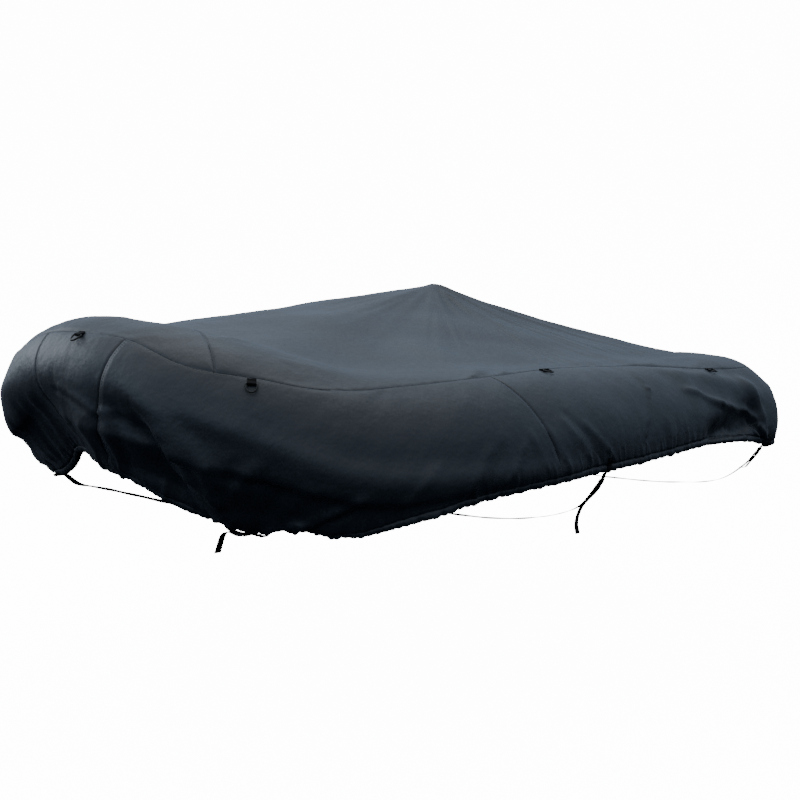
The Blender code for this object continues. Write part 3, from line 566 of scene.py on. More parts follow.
def hem_roll(point, normal, outward, running, settle):
    """The gathered, rolled hem under the last row of a skirt."""
    level = outward * np.array([1, 1, 0.0])
    level /= np.linalg.norm(level, axis=-1, keepdims=True)
    down = level * normal[..., 2:] - np.array([0, 0, 1.0]) * (normal * level).sum(-1, keepdims=True)
    centre = point - normal * HEM_ROLL
    rows = []
    for row in range(1, ROLL_ROWS + 1):
        share = row / ROLL_ROWS
        turn = math.radians(HEM_TURN) * share
        puff = wander(running + 0.0035 * math.sin(turn), 0.0128, 51, 3)
        crumple = wander(running - 0.006 * share, 0.0290, 52, 3)
        swell = 1.04 + settle * (0.30 * puff + 0.14 * crumple) * math.sin(min(1.0, share * 2.2) * math.pi / 2)
        radius = HEM_ROLL * swell
        radius = radius * (1 - 0.10 * share)
        rows.append(centre + normal * (radius * math.cos(turn))[..., None]
                    + down * (radius * math.sin(turn))[..., None])
    return np.stack(rows, 1)


def settled(at):
    return 1 - np.exp(-((at + BOW_SEAM[0]) / 0.030) ** 2)


def skirt_piece(name, places, materials):
    """A side panel with its hem: a broad grid, a finer one over the hem, and the roll.

    places gives each column's signed distance from the nose at the rim and at the hem, one way round."""
    top, hem = np.asarray(places, float).T
    count = len(top)
    coarse, fine = np.arange(count), np.linspace(0, count - 1, (count - 1) * FINE + 1)
    round_stern = np.abs(top).max() > HALF_RIM
    lap = 2 * HALF_RIM if top.max() < 0 else 0.0    # the starboard side runs on from the stern

    def split_signed(signed):
        # round the stern the distance runs on past the middle and is folded back there
        at = np.abs(signed)
        over = at > HALF_RIM
        return np.where(over, 2 * HALF_RIM - at, at), np.where(over, 1.0, -1.0) if round_stern else -np.sign(signed)

    def surface(top_s, hem_s, share):
        signed = top_s[:, None] + (hem_s - top_s)[:, None] * share
        at, side = split_signed(signed)
        side = np.where(side == 0, 1.0, side)
        point, outward = skirt_points(at, side, share)
        normal = grid_normals(point, outward)
        length = skirt_length(at)
        relief = skirt_relief(signed + lap, -side * at, share * length, (1 - share) * length,
                              settled(top_s)[:, None])
        return point + normal * relief[..., None], normal, signed

    length = skirt_length(split_signed(top)[0])
    split = 1 - HEM_BAND / length
    rows = graded(float((length * split).mean()), ROW, True, False)
    broad, _, signed = surface(top, hem, rows[None, :] * split[:, None])
    top_f, hem_f, split_f = (np.interp(fine, coarse, a) for a in (top, hem, split))
    share = split_f[:, None] + (1 - split_f)[:, None] * (1 - np.array(BAND_STEPS) / HEM_BAND)[None, :]
    band, normal, band_signed = surface(top_f, hem_f, share)
    at, side = split_signed(hem_f)
    _, out = axis_frame(at, np.where(side == 0, 1.0, side))
    roll = hem_roll(band[:, -1], normal[:, -1], out, band_signed[:, -1] + lap, settled(top_f))
    lower = np.concatenate([band, roll], axis=1)
    upper = broad[:, :-1]

    width, low, first = upper.shape[1], lower.shape[1], upper.shape[0] * upper.shape[1]
    faces = [tuple(f) for f in grid_faces(count, width)]
    for i in range(count - 1):
        foot = [first + (i * FINE + k) * low for k in range(FINE + 1)]
        faces.append((i * width + width - 1, *foot, (i + 1) * width + width - 1))
    faces += [tuple(f) for f in grid_faces(len(lower), low, first)]
    start = np.interp(fine, coarse, run_length(broad)[:, -1])
    flats = [np.stack([np.broadcast_to(at[:, :1], grid.shape[:2]), run], -1) for at, grid, run in
             ((signed, upper, run_length(upper)), (band_signed, lower, run_length(lower) + start[:, None]))]
    piece = make_mesh(name, np.concatenate([upper.reshape(-1, 3), lower.reshape(-1, 3)]), faces,
                      np.concatenate([f.reshape(-1, 2) for f in flats]), materials)
    thicken(piece, SHEET, 1)
    return piece, broad, lower, grid_area(broad) + grid_area(lower)


def grid_area(points):
    one, other = points[1:, :-1] - points[:-1, :-1], points[:-1, 1:] - points[:-1, :-1]
    return float(np.linalg.norm(np.cross(one, other), axis=-1).sum())


# ---------------------------------------------------------------- the top
def coons(head, foot, first, last, u, v):
    """Grid between four edges: head and foot run across, first and last run from head to foot."""
    u, v = u[:, None, None], v[None, :, None]
    ruled = head[:, None] * (1 - v) + foot[:, None] * v + first[None] * (1 - u) + last[None] * u
    corners = (head[0] * (1 - u) + head[-1] * u) * (1 - v) + (foot[0] * (1 - u) + foot[-1] * u) * v
    return ruled - corners


def cross_seam(u):
    port = rim_points(np.array([CROSS_SEAM_AT]), PORT)[0]
    y = port[1] * (1 - 2 * u)
    x = NOSE_X + CROSS_SEAM_CROWN + (port[0] - NOSE_X - CROSS_SEAM_CROWN) * (y / port[1]) ** 2
    return np.stack([x, y, top_height(x, y)], -1)


def top_piece(name, head, foot, first, last, u, v, materials):
    grid = coons(head, foot, first, last, u, v)
    grid[..., 2] = top_height(grid[..., 0], grid[..., 1])
    grid[0], grid[-1], grid[:, 0], grid[:, -1] = first, last, head, foot
    # distance from the nearest edge, towards which the relief fades so that the seams stay where they are
    from_rim = np.min([np.linalg.norm(grid - edge, axis=-1)
                       for edge in (grid[:1], grid[-1:], grid[:, :1], grid[:, -1:])], axis=0)
    normal = grid_normals(grid, np.array([0, 0, 1.0]))
    normal[0], normal[-1] = normal[1], normal[-2]
    grid = grid + normal * top_relief(grid[..., 0], grid[..., 1], from_rim)[..., None]
    piece = make_mesh(name, grid.reshape(-1, 3), grid_faces(*grid.shape[:2]), grid[..., :2].reshape(-1, 2),
                      materials)
    thicken(piece, SHEET, 1)
    return piece, grid, grid_area(grid)


def build_top(materials):
    width = 2 * abs(rim_points(np.array([1.3]), PORT)[0][1])
    u = graded(width, TOP_CELL, True, True)
    v = graded(CORNER_MIDDLE - CROSS_SEAM_AT, TOP_CELL, True, True)
    way = np.where(u < 0.5, PORT, STARBOARD)
    stern_at = HALF_RIM - (HALF_RIM - CORNER_MIDDLE) * np.abs(2 * u - 1)
    side_at = CROSS_SEAM_AT + (CORNER_MIDDLE - CROSS_SEAM_AT) * v
    seam = cross_seam(u)
    top = top_piece("top_cloth", seam, rim_points(stern_at, way), rim_points(side_at, PORT),
                    rim_points(side_at, STARBOARD), u, v, materials)
    u = graded(2 * CROSS_SEAM_AT, BOW_CELL, True, True)
    v = graded(CROSS_SEAM_CROWN + 0.05, BOW_CELL, True, True)
    way = np.where(u < 0.5, PORT, STARBOARD)
    seam = cross_seam(u)
    nose = rim_points(CROSS_SEAM_AT * np.abs(2 * u - 1), way)
    pointed = [np.repeat(end[None], len(v), 0) for end in (seam[0], seam[-1])]
    return top, top_piece("bow_top_cloth", nose, seam, *pointed, u, v, materials)


# ---------------------------------------------------------------- panels
def even(start, stop, cell):
    return np.linspace(start, stop, max(2, int(round(abs(stop - start) / cell))) + 1)


def build_panels(materials):
    """Each panel's object, grid, hem grid and flat area, by name."""
    top, bow_top = build_top(materials)
    panels = {"top_cloth": top, "bow_top_cloth": bow_top}
    nose = even(BOW_SEAM[0], -BOW_SEAM[0], COLUMN)
    narrowing = BOW_SEAM[1] / BOW_SEAM[0]
    panels["bow_cloth"] = skirt_piece("bow_cloth", [(at, at * narrowing) for at in nose], materials)
    slant = QUARTER_SEAM[1] - QUARTER_SEAM[0]
    for name, way in (("side_cloth_port", 1), ("side_cloth_starboard", -1)):
        run = even(BOW_SEAM[0], QUARTER_SEAM[0], COLUMN)
        share = (run - run[0]) / (run[-1] - run[0])
        shift = slant * share**2 - (BOW_SEAM[0] - BOW_SEAM[1]) * (1 - share) ** 4
        places = [(way * at, way * (at + move)) for at, move in zip(run, shift)]
        panels[name] = skirt_piece(name, places, materials)
    run = even(QUARTER_SEAM[0], 2 * HALF_RIM - QUARTER_SEAM[0], STERN_COLUMN)
    from_end = np.minimum(run, 2 * HALF_RIM - run)
    share = np.clip((from_end - QUARTER_SEAM[0]) / (CORNER_MIDDLE - QUARTER_SEAM[0]), 0, 1)
    shift = slant * (1 - share) ** 2 * np.where(run < HALF_RIM, 1, -1)
    panels["stern_cloth"] = skirt_piece("stern_cloth", list(zip(run, run + shift)), materials)
    return panels


# ---------------------------------------------------------------- materials
class Tree:
    """Short hand for building a node tree."""

    def __init__(self, tree):
        self.tree = tree

    def add(self, kind, inputs=None, **settings):
        node = self.tree.nodes.new("ShaderNode" + kind)
        for key, value in settings.items():
            setattr(node, key, value)
        for key, value in (inputs or {}).items():
            if isinstance(value, bpy.types.NodeSocket):
                self.tree.links.new(value, node.inputs[key])
            else:
                node.inputs[key].default_value = value
        return node

    def flat(self):
        return self.add("UVMap", uv_map="flat").outputs["UV"]

    def space(self):
        return self.add("TexCoord").outputs["Object"]

    def noise(self, place, scale, detail=4.0, roughness=0.55):
        inputs = {"Vector": place, "Scale": scale, "Detail": detail, "Roughness": roughness}
        return self.add("TexNoise", inputs).outputs["Fac"]

    def span(self, value, low, high, to_low=0.0, to_high=1.0):
        inputs = {"Value": value, "From Min": low, "From Max": high, "To Min": to_low, "To Max": to_high}
        return self.add("MapRange", inputs).outputs["Result"]

    def mix(self, share, one, other):
        node = self.add("Mix", data_type="RGBA")
        for socket, value in zip((node.inputs[0], node.inputs[6], node.inputs[7]), (share, one, other)):
            if isinstance(value, bpy.types.NodeSocket):
                self.tree.links.new(value, socket)
            else:
                socket.default_value = (*value, 1) if isinstance(value, tuple) else value
        return node.outputs[2]

    def sum(self, one, other, operation="ADD"):
        return self.add("Math", {0: one, 1: other}, operation=operation).outputs[0]

    def wave(self, place, direction, pitch):
        inputs = {"Vector": place, "Scale": 1 / pitch / 3.1831, "Distortion": 0.0}
        return self.add("TexWave", inputs, bands_direction=direction).outputs["Fac"]

    def bump(self, height, distance, strength, normal=None):
        inputs = {"Height": height, "Distance": distance, "Strength": strength}
        if normal is not None:
            inputs["Normal"] = normal
        return self.add("Bump", inputs).outputs["Normal"]


class Nodes(Tree):
    """Short hand for a material."""

    def __init__(self, name, **shader):
        self.material = bpy.data.materials.new(name)
        self.material.use_nodes = True
        super().__init__(self.material.node_tree)
        self.shader = self.tree.nodes["Principled BSDF"]
        for socket, value in shader.items():
            self.shader.inputs[socket.replace("_", " ")].default_value = value

    def link(self, output, socket):
        self.tree.links.new(output, self.shader.inputs[socket])


def woven(nodes, pitch):
    """Height of a plain weave with a thread at each pitch."""
    flat = nodes.flat()
    return nodes.sum(nodes.wave(flat, "X", pitch), nodes.wave(flat, "Y", pitch), "MAXIMUM")


def cloth_material(name, dark, light):
    nodes = Nodes(name, Specular_IOR_Level=0.5, Sheen_Weight=0.06, Sheen_Roughness=0.40)
    nodes.shader.inputs["Sheen Tint"].default_value = (0.75, 0.82, 1.0, 1)
    space = nodes.space()
    mottled = nodes.span(nodes.noise(space, 3.2, 5.0, 0.6), 0.30, 0.70)
    fine = nodes.span(nodes.noise(space, 60.0, 3.0, 0.6), 0.35, 0.65)
    faded = nodes.sum(nodes.sum(mottled, 0.75, "MULTIPLY"), nodes.sum(fine, 0.25, "MULTIPLY"))
    nodes.link(nodes.mix(faded, dark, light), "Base Color")
    nodes.link(nodes.span(mottled, 0.0, 1.0, 0.44, 0.56), "Roughness")
    ridged = nodes.add("TexNoise", {"Vector": space, "Scale": 7.0, "Detail": 5.0}, noise_type="RIDGED_MULTIFRACTAL")
    crinkled = nodes.bump(ridged.outputs["Fac"], 0.0045, 1.0)
    creased = nodes.bump(nodes.noise(space, 42.0, 5.0, 0.58), 0.0020, 1.0, crinkled)
    nodes.link(nodes.bump(woven(nodes, 0.0011), 0.00018, 0.35, creased), "Normal")
    return nodes.material


def webbing_material(name, colour, light):
    nodes = Nodes(name, Roughness=0.74, Specular_IOR_Level=0.10)
    flat, space = nodes.flat(), nodes.space()
    ribs = nodes.wave(flat, "X", 0.0016)
    picks = nodes.wave(flat, "Y", 0.0011)
    worn = nodes.span(nodes.noise(space, 90.0, 4.0), 0.35, 0.75)
    nodes.link(nodes.mix(nodes.sum(worn, ribs, "MULTIPLY"), colour, light), "Base Color")
    height = nodes.sum(nodes.sum(ribs, 0.7, "MULTIPLY"), nodes.sum(picks, 0.3, "MULTIPLY"))
    nodes.link(nodes.bump(height, 0.0004, 0.5), "Normal")
    return nodes.material


def metal_material(name):
    nodes = Nodes(name, Specular_IOR_Level=0.35)
    space = nodes.space()
    rubbed = nodes.span(nodes.noise(space, 180.0, 4.0), 0.52, 0.72)
    nodes.link(nodes.mix(rubbed, (0.004, 0.004, 0.005), (0.016, 0.017, 0.018)), "Base Color")
    nodes.link(nodes.span(nodes.noise(space, 400.0), 0.3, 0.7, 0.36, 0.52), "Roughness")
    nodes.link(nodes.bump(nodes.noise(space, 900.0), 0.0001, 0.15), "Normal")
    return nodes.material


def plastic_material(name):
    nodes = Nodes(name, Specular_IOR_Level=0.5)
    space = nodes.space()
    scuffed = nodes.span(nodes.noise(space, 260.0, 5.0), 0.55, 0.75)
    nodes.link(nodes.mix(scuffed, (0.010, 0.010, 0.011), (0.040, 0.040, 0.042)), "Base Color")
    nodes.link(nodes.span(scuffed, 0.0, 1.0, 0.38, 0.60), "Roughness")
    nodes.link(nodes.bump(nodes.noise(space, 1400.0, 3.0), 0.00008, 0.25), "Normal")
    return nodes.material


def thread_material(name, dark, light):
    nodes = Nodes(name, Roughness=0.6, Specular_IOR_Level=0.4)
    space = nodes.space()
    nodes.link(nodes.mix(nodes.noise(space, 300.0), dark, light), "Base Color")
    nodes.link(nodes.bump(nodes.noise(space, 2500.0), 0.0001, 0.4), "Normal")
    return nodes.material


CLOTH_OUT = cloth_material("cover_cloth", (0.012, 0.0155, 0.021), (0.018, 0.023, 0.030))
# the inside faces get a darker, greyer copy of the same cloth: painted shade for the side that faces into the cover
CLOTH_IN_PAINTED_SHADE = cloth_material("cover_cloth_inside_painted_shade", (0.008, 0.010, 0.012), (0.012, 0.014, 0.017))
WEBBING_LOOK = webbing_material("strap_webbing", (0.003, 0.003, 0.0035), (0.009, 0.009, 0.010))
METAL = metal_material("ring_wire")
PLASTIC = plastic_material("moulded_buckle")
THREAD = thread_material("sewing_thread", (0.010, 0.011, 0.013), (0.030, 0.033, 0.038))
TACK_THREAD = thread_material("tack_thread", (0.045, 0.045, 0.045), (0.11, 0.11, 0.105))


# ---------------------------------------------------------------- stitches, webbing and rings
def stitch_rows(name, lines, length, width, rise, mat, skip):
    """Short raised stitches along lines of points with normals, as one mesh."""
    points, faces = [], []
    for line, normals in lines:
        step = np.linalg.norm(np.diff(line, axis=0), axis=1)
        run = np.concatenate([[0], np.cumsum(step)])
        pitch = length * (1 + skip)
        for start in np.arange(pitch / 2, run[-1] - length, pitch):
            ends = [np.array([np.interp(start + shift, run, line[:, k]) for k in range(3)])
                    for shift in (0, length)]
            normal = np.array([np.interp(start, run, normals[:, k]) for k in range(3)])
            along = ends[1] - ends[0]
            beside = np.cross(along, normal)
            beside *= width / 2 / (np.linalg.norm(beside) + 1e-12)
            middle = (ends[0] + ends[1]) / 2 + normal * rise
            first = len(points)
            points += [ends[0] - beside * 0.5, ends[0] + beside * 0.5, middle - beside, middle + beside,
                       ends[1] - beside * 0.5, ends[1] + beside * 0.5, (ends[0] + ends[1]) / 2 - normal * rise]
            faces += [(first, first + 1, first + 3, first + 2), (first + 2, first + 3, first + 5, first + 4),
                      (first, first + 2, first + 4, first + 6), (first + 1, first + 6, first + 5, first + 3),
                      (first, first + 6, first + 1), (first + 4, first + 5, first + 6)]
    piece = make_mesh(name, points, faces, None, [mat], smooth=False)
    return piece


STITCHED_IN = 0.0040         # how far in from a seam its stitching runs
# length, width and rise of a stitch
THREAD_STITCH, WIDE_STITCH, TACK = (0.0022, 0.0008, 0.0004), (0.0040, 0.0012, 0.0006), (0.0011, 0.0007, 0.0003)


def inset(grid, distance, edge):
    """A line a set distance in from one edge of a panel's grid, on its outside, with the normals there."""
    turned = {"head": grid, "first": grid.transpose(1, 0, 2), "last": grid[::-1].transpose(1, 0, 2)}[edge]
    facing, run = grid_normals(turned, turned - INSIDE), run_length(turned)
    line, normals = (np.array([[np.interp(distance, at, column[:, k]) for k in range(3)]
                               for at, column in zip(run, table)]) for table in (turned, facing))
    return line + normals * SHEET / 2, normals


def seam_stitches():
    """Rows of stitching beside the rim, over the hem, and beside the seams across the cloth."""
    rim, hem, across = [], [], [inset(panels["top_cloth"][1], STITCHED_IN, "head")]
    for name in ("bow_cloth", "side_cloth_port", "side_cloth_starboard", "stern_cloth"):
        _, broad, lower, _ = panels[name]
        band = lower[:, :len(BAND_STEPS)]
        rim.append(inset(broad, STITCHED_IN, "head"))
        hem.append(inset(band, HEM_BAND - CASING_LINE, "head"))
        for edge in ("first", "last")[:1 if name.startswith("side") else 2]:
            across += [inset(broad, STITCHED_IN, edge), inset(band, STITCHED_IN, edge)]
    return [stitch_rows("stitches_rim", rim, *THREAD_STITCH, THREAD, 0.45),
            stitch_rows("stitches_hem", hem, *THREAD_STITCH, THREAD, 0.45),
            stitch_rows("stitches_across", across, *WIDE_STITCH, THREAD, 0.60)]


def surface_of(names):
    graph = bpy.context.evaluated_depsgraph_get()
    return {name: BVHTree.FromObject(panels[name][0], graph) for name in names}


SEAT_REACH = 0.05
FACING_REACH = 0.006         # over which a ring's webbing takes the way that the cloth faces


def seat(surface, point, normal):
    """Where the cloth's outside is at a point, and its normal there."""
    for nudge in (0, 0.0003, -0.0003):
        start = point + normal * SEAT_REACH + Vector((nudge, nudge * 0.7, 0))
        place, facing, _, _ = surface.ray_cast(start, -normal, 2 * SEAT_REACH)
        if place is not None:
            return place, facing
    return None, None


def array_of(vectors):
    return np.array([tuple(v) for v in vectors])


def tack_row(middle, along, facing, half, count):
    """A row of tacks across webbing."""
    spots = [middle + along * x for x in np.linspace(-half, half, count)]
    tack_lines.append((array_of(spots), np.tile(tuple(facing), (count, 1))))


def smooth_path(points, cell):
    """A path resampled along a smooth curve through its points."""
    pts = array_of(points)
    pts = np.concatenate([[2 * pts[0] - pts[1]], pts, [2 * pts[-1] - pts[-2]]])
    out = []
    for a, b, c, d in zip(pts, pts[1:], pts[2:], pts[3:]):
        knots = np.cumsum([0.0] + [max(1e-6, math.dist(p, q)) ** 0.5 for p, q in ((a, b), (b, c), (c, d))])
        steps = max(1, int(math.ceil(math.dist(b, c) / cell)))
        for t in np.linspace(knots[1], knots[2], steps, endpoint=False):
            def blend(p, q, i, j):
                return (p * (knots[j] - t) + q * (t - knots[i])) / (knots[j] - knots[i])
            one, two, three = blend(a, b, 0, 1), blend(b, c, 1, 2), blend(c, d, 2, 3)
            out.append(blend(blend(one, two, 0, 2), blend(two, three, 1, 3), 1, 2))
    out.append(pts[-2])
    return np.array(out)


BAND_CELLS = 8
BAND_SHEET = 0.0013


def band(name, path, across, node, cell=0.003, twist=0.0):
    """Webbing along a path, its width along a vector, with rounded edges and a slight uneven lie."""
    line = smooth_path(path, cell)
    across = np.array(tuple(across))
    tangent = np.gradient(line, axis=0)
    normal = np.cross(tangent, across)
    normal /= np.linalg.norm(normal, axis=1, keepdims=True) + 1e-12
    run = np.concatenate([[0], np.cumsum(np.linalg.norm(np.diff(line, axis=0), axis=1))])
    shares = np.linspace(-1, 1, BAND_CELLS + 1)
    rock = wander(run, 0.11, 61) * twist
    grid = (line[:, None] + across * (shares * WEBBING_WIDTH / 2)[None, :, None]
            + normal[:, None] * (rock[:, None] * shares[None, :])[..., None])
    flat = np.stack(np.broadcast_arrays(shares[None, :] * WEBBING_WIDTH / 2, run[:, None]), -1)
    piece = make_mesh(name, grid.reshape(-1, 3), grid_faces(len(line), BAND_CELLS + 1), flat.reshape(-1, 2),
                      [WEBBING_LOOK], centre=line.mean(0))
    thicken(piece, BAND_SHEET)
    round_edges(piece, 0.00035, 2, 1.0)
    dress(piece, node)


TURN_STEPS = 12


def half_turn(centre, ahead, leaving):
    turns = [math.pi * k / TURN_STEPS for k in range(TURN_STEPS + 1)]
    return [centre + (ahead * math.sin(t) - leaving * math.cos(t)) * WRAP for t in turns]


def wire_loop(name, points, normal, radius, node):
    """A closed wire through points that lie in a plane."""
    points, normal = array_of(points), np.array(tuple(normal))
    tangent = np.roll(points, -1, 0) - np.roll(points, 1, 0)
    beside = np.cross(tangent, normal)
    beside /= np.linalg.norm(beside, axis=1, keepdims=True)
    sides = 16
    turns = np.linspace(0, 2 * math.pi, sides, endpoint=False)
    ring = points[:, None] + radius * (beside[:, None] * np.cos(turns)[None, :, None]
                                       + normal * np.sin(turns)[None, :, None])
    i, j = np.meshgrid(np.arange(len(points)), np.arange(sides), indexing="ij")
    after, around = (i + 1) % len(points), (j + 1) % sides
    faces = np.stack([i * sides + j, i * sides + around, after * sides + around, after * sides + j], -1)
    faces = faces.reshape(-1, 4)
    dress(make_mesh(name, ring.reshape(-1, 3), faces, None, [METAL], centre=points.mean(0)), node)


def single(function, at, side):
    return [np.atleast_2d(v)[0] for v in function(np.array([at]), np.array([side]))]


def skirt_at(at, side, share):
    point, normal = skirt_points(np.array([at]), np.array([side]), np.array([share]))
    return Vector(point[0]), Vector(normal[0])


def d_ring(name, surface, at, side):
    """A D-ring in its folded loop of webbing, laid on the cloth under the rim seam."""
    radius = float(station("radius", at))
    share = RING_BELOW_SEAM / (radius * math.radians(float(station("hem", at) - station("seam", at))))
    point, normal = skirt_at(at, side, share / 2)
    place, facing = seat(surface, point, normal)
    shifts = [axis * way * FACING_REACH for axis in (Vector((1, 0, 0)), Vector((0, 1, 0)), Vector((0, 0, 1)))
              for way in (1, -1)]
    spread = [seat(surface, place + shift, facing)[1] for shift in shifts]
    facing = sum((n for n in spread if n is not None), facing.copy()).normalized()
    out = Vector(single(axis_frame, at, side)[1])
    along = Vector((out.y, -out.x, 0))
    along = (along - facing * along.dot(facing)).normalized()
    down = along.cross(facing).normalized()
    if down.z > 0:
        down.negate()
    reach = RING_BELOW_SEAM / 2 - 0.003
    rises = []
    for x in (-WEBBING_WIDTH / 2, 0, WEBBING_WIDTH / 2):
        for y in (-reach, 0, reach):
            under, _ = seat(surface, place + along * x + down * y, facing)
            if under is not None:
                rises.append((under - place).dot(facing))
    place += facing * max(0.0, *rises)
    bar = place + down * (RING_BELOW_SEAM / 2) + facing * (TOUCH + WEBBING / 2 + WRAP)
    sewn = place - down * reach
    under = sewn + facing * (TOUCH + WEBBING / 2)
    upper = under + facing * (WEBBING + TOUCH)
    path = [under, under + down * reach] + half_turn(bar, down, facing) + [upper + down * reach, upper]
    band("loop_" + name, path, along, "ring_loop_" + name, 0.0015)
    tack_row(upper + facing * (WEBBING / 2) + down * 0.002, along, facing, 0.0075, 12)

    half, corner = RING_WIDTH / 2 - RING_WIRE, 0.002
    turns = [math.pi * k / 28 for k in range(29)]
    shape = [(half - corner - (2 * half - 2 * corner) * k / 8, 0.0) for k in range(8, -1, -1)]
    bend = [(corner * math.sin(t), corner * (1 - math.cos(t))) for t in np.linspace(0.25, 1.32, 4)]
    right = [(half - corner + dx, dy) for dx, dy in bend]
    arc = [(half * math.cos(t), corner + (RING_DEPTH - 2 * RING_WIRE - corner) * math.sin(t)) for t in turns]
    left = [(corner - half - dx, dy) for dx, dy in bend[::-1]]
    outline = shape + right + arc + left
    wire_loop("d_ring_" + name, [bar + along * x + down * y for x, y in outline], facing, RING_WIRE, "ring_" + name)


def sewn_run(surface, at, side):
    """Webbing laid on the cloth and over the curled hem, from its sewn end down to the hem's lowest point."""
    length = float(skirt_length(np.array([at]))[0])
    places = [skirt_at(at, side, 1 - back / length) for back in np.linspace(TAB_LENGTH, 0, 8)]
    point, normal = places[-1]
    middle_x = point.x
    out = Vector(single(axis_frame, at, side)[1])
    down = out * normal.z - Vector((0, 0, 1)) * normal.dot(out)
    centre = point - normal * HEM_ROLL
    for turn in (math.radians(25), math.radians(50), math.radians(75)):
        way = normal * math.cos(turn) + down * math.sin(turn)
        places.append((centre + way * HEM_ROLL, way))
    path = []
    for point, normal in places:
        point.x, normal.x = middle_x, 0
        normal.normalize()
        hits = [seat(surface, point + Vector((shift, 0, 0)), normal)[0]
                for shift in np.linspace(-WEBBING_WIDTH / 2, WEBBING_WIDTH / 2, 7)]
        reach = max((hit - point).dot(normal) for hit in hits if hit is not None)
        path.append(point + normal * (reach + SEWN_CLEAR + WEBBING / 2))
    # a stiff webbing bridges the small puckers
    smoothed = list(path)
    for k in range(1, len(path) - 1):
        smoothed[k] = (path[k - 1] + path[k] * 2 + path[k + 1]) / 4
        lift = (path[k] - smoothed[k]).dot(places[k][1])
        smoothed[k] += places[k][1] * max(0.0, lift)
    return smoothed


def belly_strap(strap, surfaces):
    along = Vector((1, 0, 0))

    def run(pair):
        return Vector((0, pair[0], -pair[1]))

    tab = sewn_run(surfaces[PORT], strap.at, PORT)
    top = tab[-1] + run(strap.buckle)
    ahead = (run(strap.buckle).normalized() + run(strap.lead).normalized()).normalized()
    outer = along.cross(ahead).normalized()
    if outer.y + outer.z > 0:
        outer.negate()
    bars = [top + ahead * distance for distance in BUCKLE_BARS]
    sewn = list(tab)
    turn = half_turn(bars[0], ahead, -outer)
    tab = tab + turn + [turn[-1] - ahead * TAB_BACK]
    band("tab_" + strap.name, tab, along, "strap_tab_" + strap.name, 0.0025)
    buckle("buckle_frame_" + strap.name, top, along, ahead, "buckle_" + strap.name)
    for k in (1, 4):
        facing = (along.cross(sewn[k + 1] - sewn[k - 1])).normalized()
        if facing.y > 0:
            facing.negate()
        tack_row(sewn[k] + facing * (BAND_SHEET / 2 + 0.0002), along, facing, 0.0060, 10)

    turn = half_turn(bars[1], -ahead, outer)
    inner = [turn[0] + ahead * LEAD_STRAIGHT]
    inner.append(inner[-1] + run(strap.lead))
    free = [turn[-1] + ahead * LEAD_STRAIGHT]
    free.append(free[-1] + run(strap.lead))
    free.append(free[-1] + run(strap.hang))
    free.append(free[-1] + run(strap.tip))
    away = sewn_run(surfaces[STARBOARD], strap.at, STARBOARD)
    low, keel = -AXIS_DROP - strap.deep, -AXIS_DROP - strap.keel
    beam = -inner[-1].y
    depths = (low, (low + 2 * keel) / 3, keel)
    under = [Vector((tab[0].x, -share * beam, z)) for share, z in zip(HULL_RUN, depths)]
    under += [Vector((tab[0].x, share * beam, z)) for share, z in zip(HULL_RUN[:0:-1], depths[:0:-1])]
    under.append(Vector((tab[0].x, HULL_END * beam, low)))
    route = free[::-1] + turn[::-1] + inner + under + away[::-1]
    band("belt_" + strap.name, route, along, "strap_" + strap.name, 0.006, 0.0012)


def buckle(name, top, along, ahead, node):
    """A flat buckle with three bars and rounded edges."""
    half = BUCKLE_WIDTH / 2
    across = (-half, -half + BAR, half - BAR, half)
    down = [distance + edge for distance in BUCKLE_BARS for edge in (-BAR / 2, BAR / 2)]
    points = [top + along * x + ahead * y for x in across for y in down]
    rows = len(down)
    faces = [(i * rows + j, i * rows + j + 1, (i + 1) * rows + j + 1, (i + 1) * rows + j)
             for i in range(3) for j in range(rows - 1) if i != 1 or j % 2 == 0]
    piece = make_mesh(name, [tuple(p) for p in points], faces, None, [PLASTIC], centre=np.array([top.x, 0, top.z]))
    thicken(piece, BAR)
    round_edges(piece, 0.0007, 3, 0.6)
    dress(piece, node)


# ---------------------------------------------------------------- the cover
REPLACED = {"top_cloth": "top_panel", "bow_top_cloth": "bow_top_panel", "bow_cloth": "bow_panel",
            "side_cloth_port": "side_panel_port", "side_cloth_starboard": "side_panel_starboard",
            "stern_cloth": "stern_panel"}
pieces, tack_lines = [], []
# the second material, on the inside faces, is the darker copy of the cloth with painted shade
panels = build_panels([CLOTH_OUT, CLOTH_IN_PAINTED_SHADE])
surfaces = surface_of(panels)
for name, node in REPLACED.items():
    dress(panels[name][0], node)

d_ring("nose", surfaces["bow_cloth"], 0.0, PORT)
for label, way in (("port", PORT), ("starboard", STARBOARD)):
    for number, at in enumerate(RING_STATIONS, 1):
        cloth = "stern_cloth" if at > QUARTER_SEAM[1] else "side_cloth_" + label
        d_ring(f"{label}_{number}", surfaces[cloth], at, way)
for strap in STRAPS:
    aft = strap.at > QUARTER_SEAM[1]
    names = {PORT: "side_cloth_port", STARBOARD: "side_cloth_starboard"}
    belly_strap(strap, {way: surfaces["stern_cloth" if aft else names[way]] for way in names})
pieces.append(stitch_rows("tacks", tack_lines, *TACK, TACK_THREAD, 0.15))
pieces += seam_stitches()

for piece in pieces:
    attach(piece, "root")


# ---------------------------------------------------------------- camera, light and floor
FLOOR = -1.10
SKY = ((0.475, (0.002, 0.002, 0.003)), (0.555, (0.34, 0.44, 0.57)), (0.70, (0.46, 0.61, 0.80)),
       (1.0, (0.60, 0.79, 0.95)))
SKY_STRENGTH = (0.68, 1.45)
FLOOR_REACH, BEND, BACKDROP = 9.0, 2.5, 10.0    # the flat floor, the curve up to the backdrop and its height
CAMERA_PLACE, LENS = (-2.986, -2.372, 0.024), 54.675
CAMERA_TURN = (0.876, 0.100, 0.036)


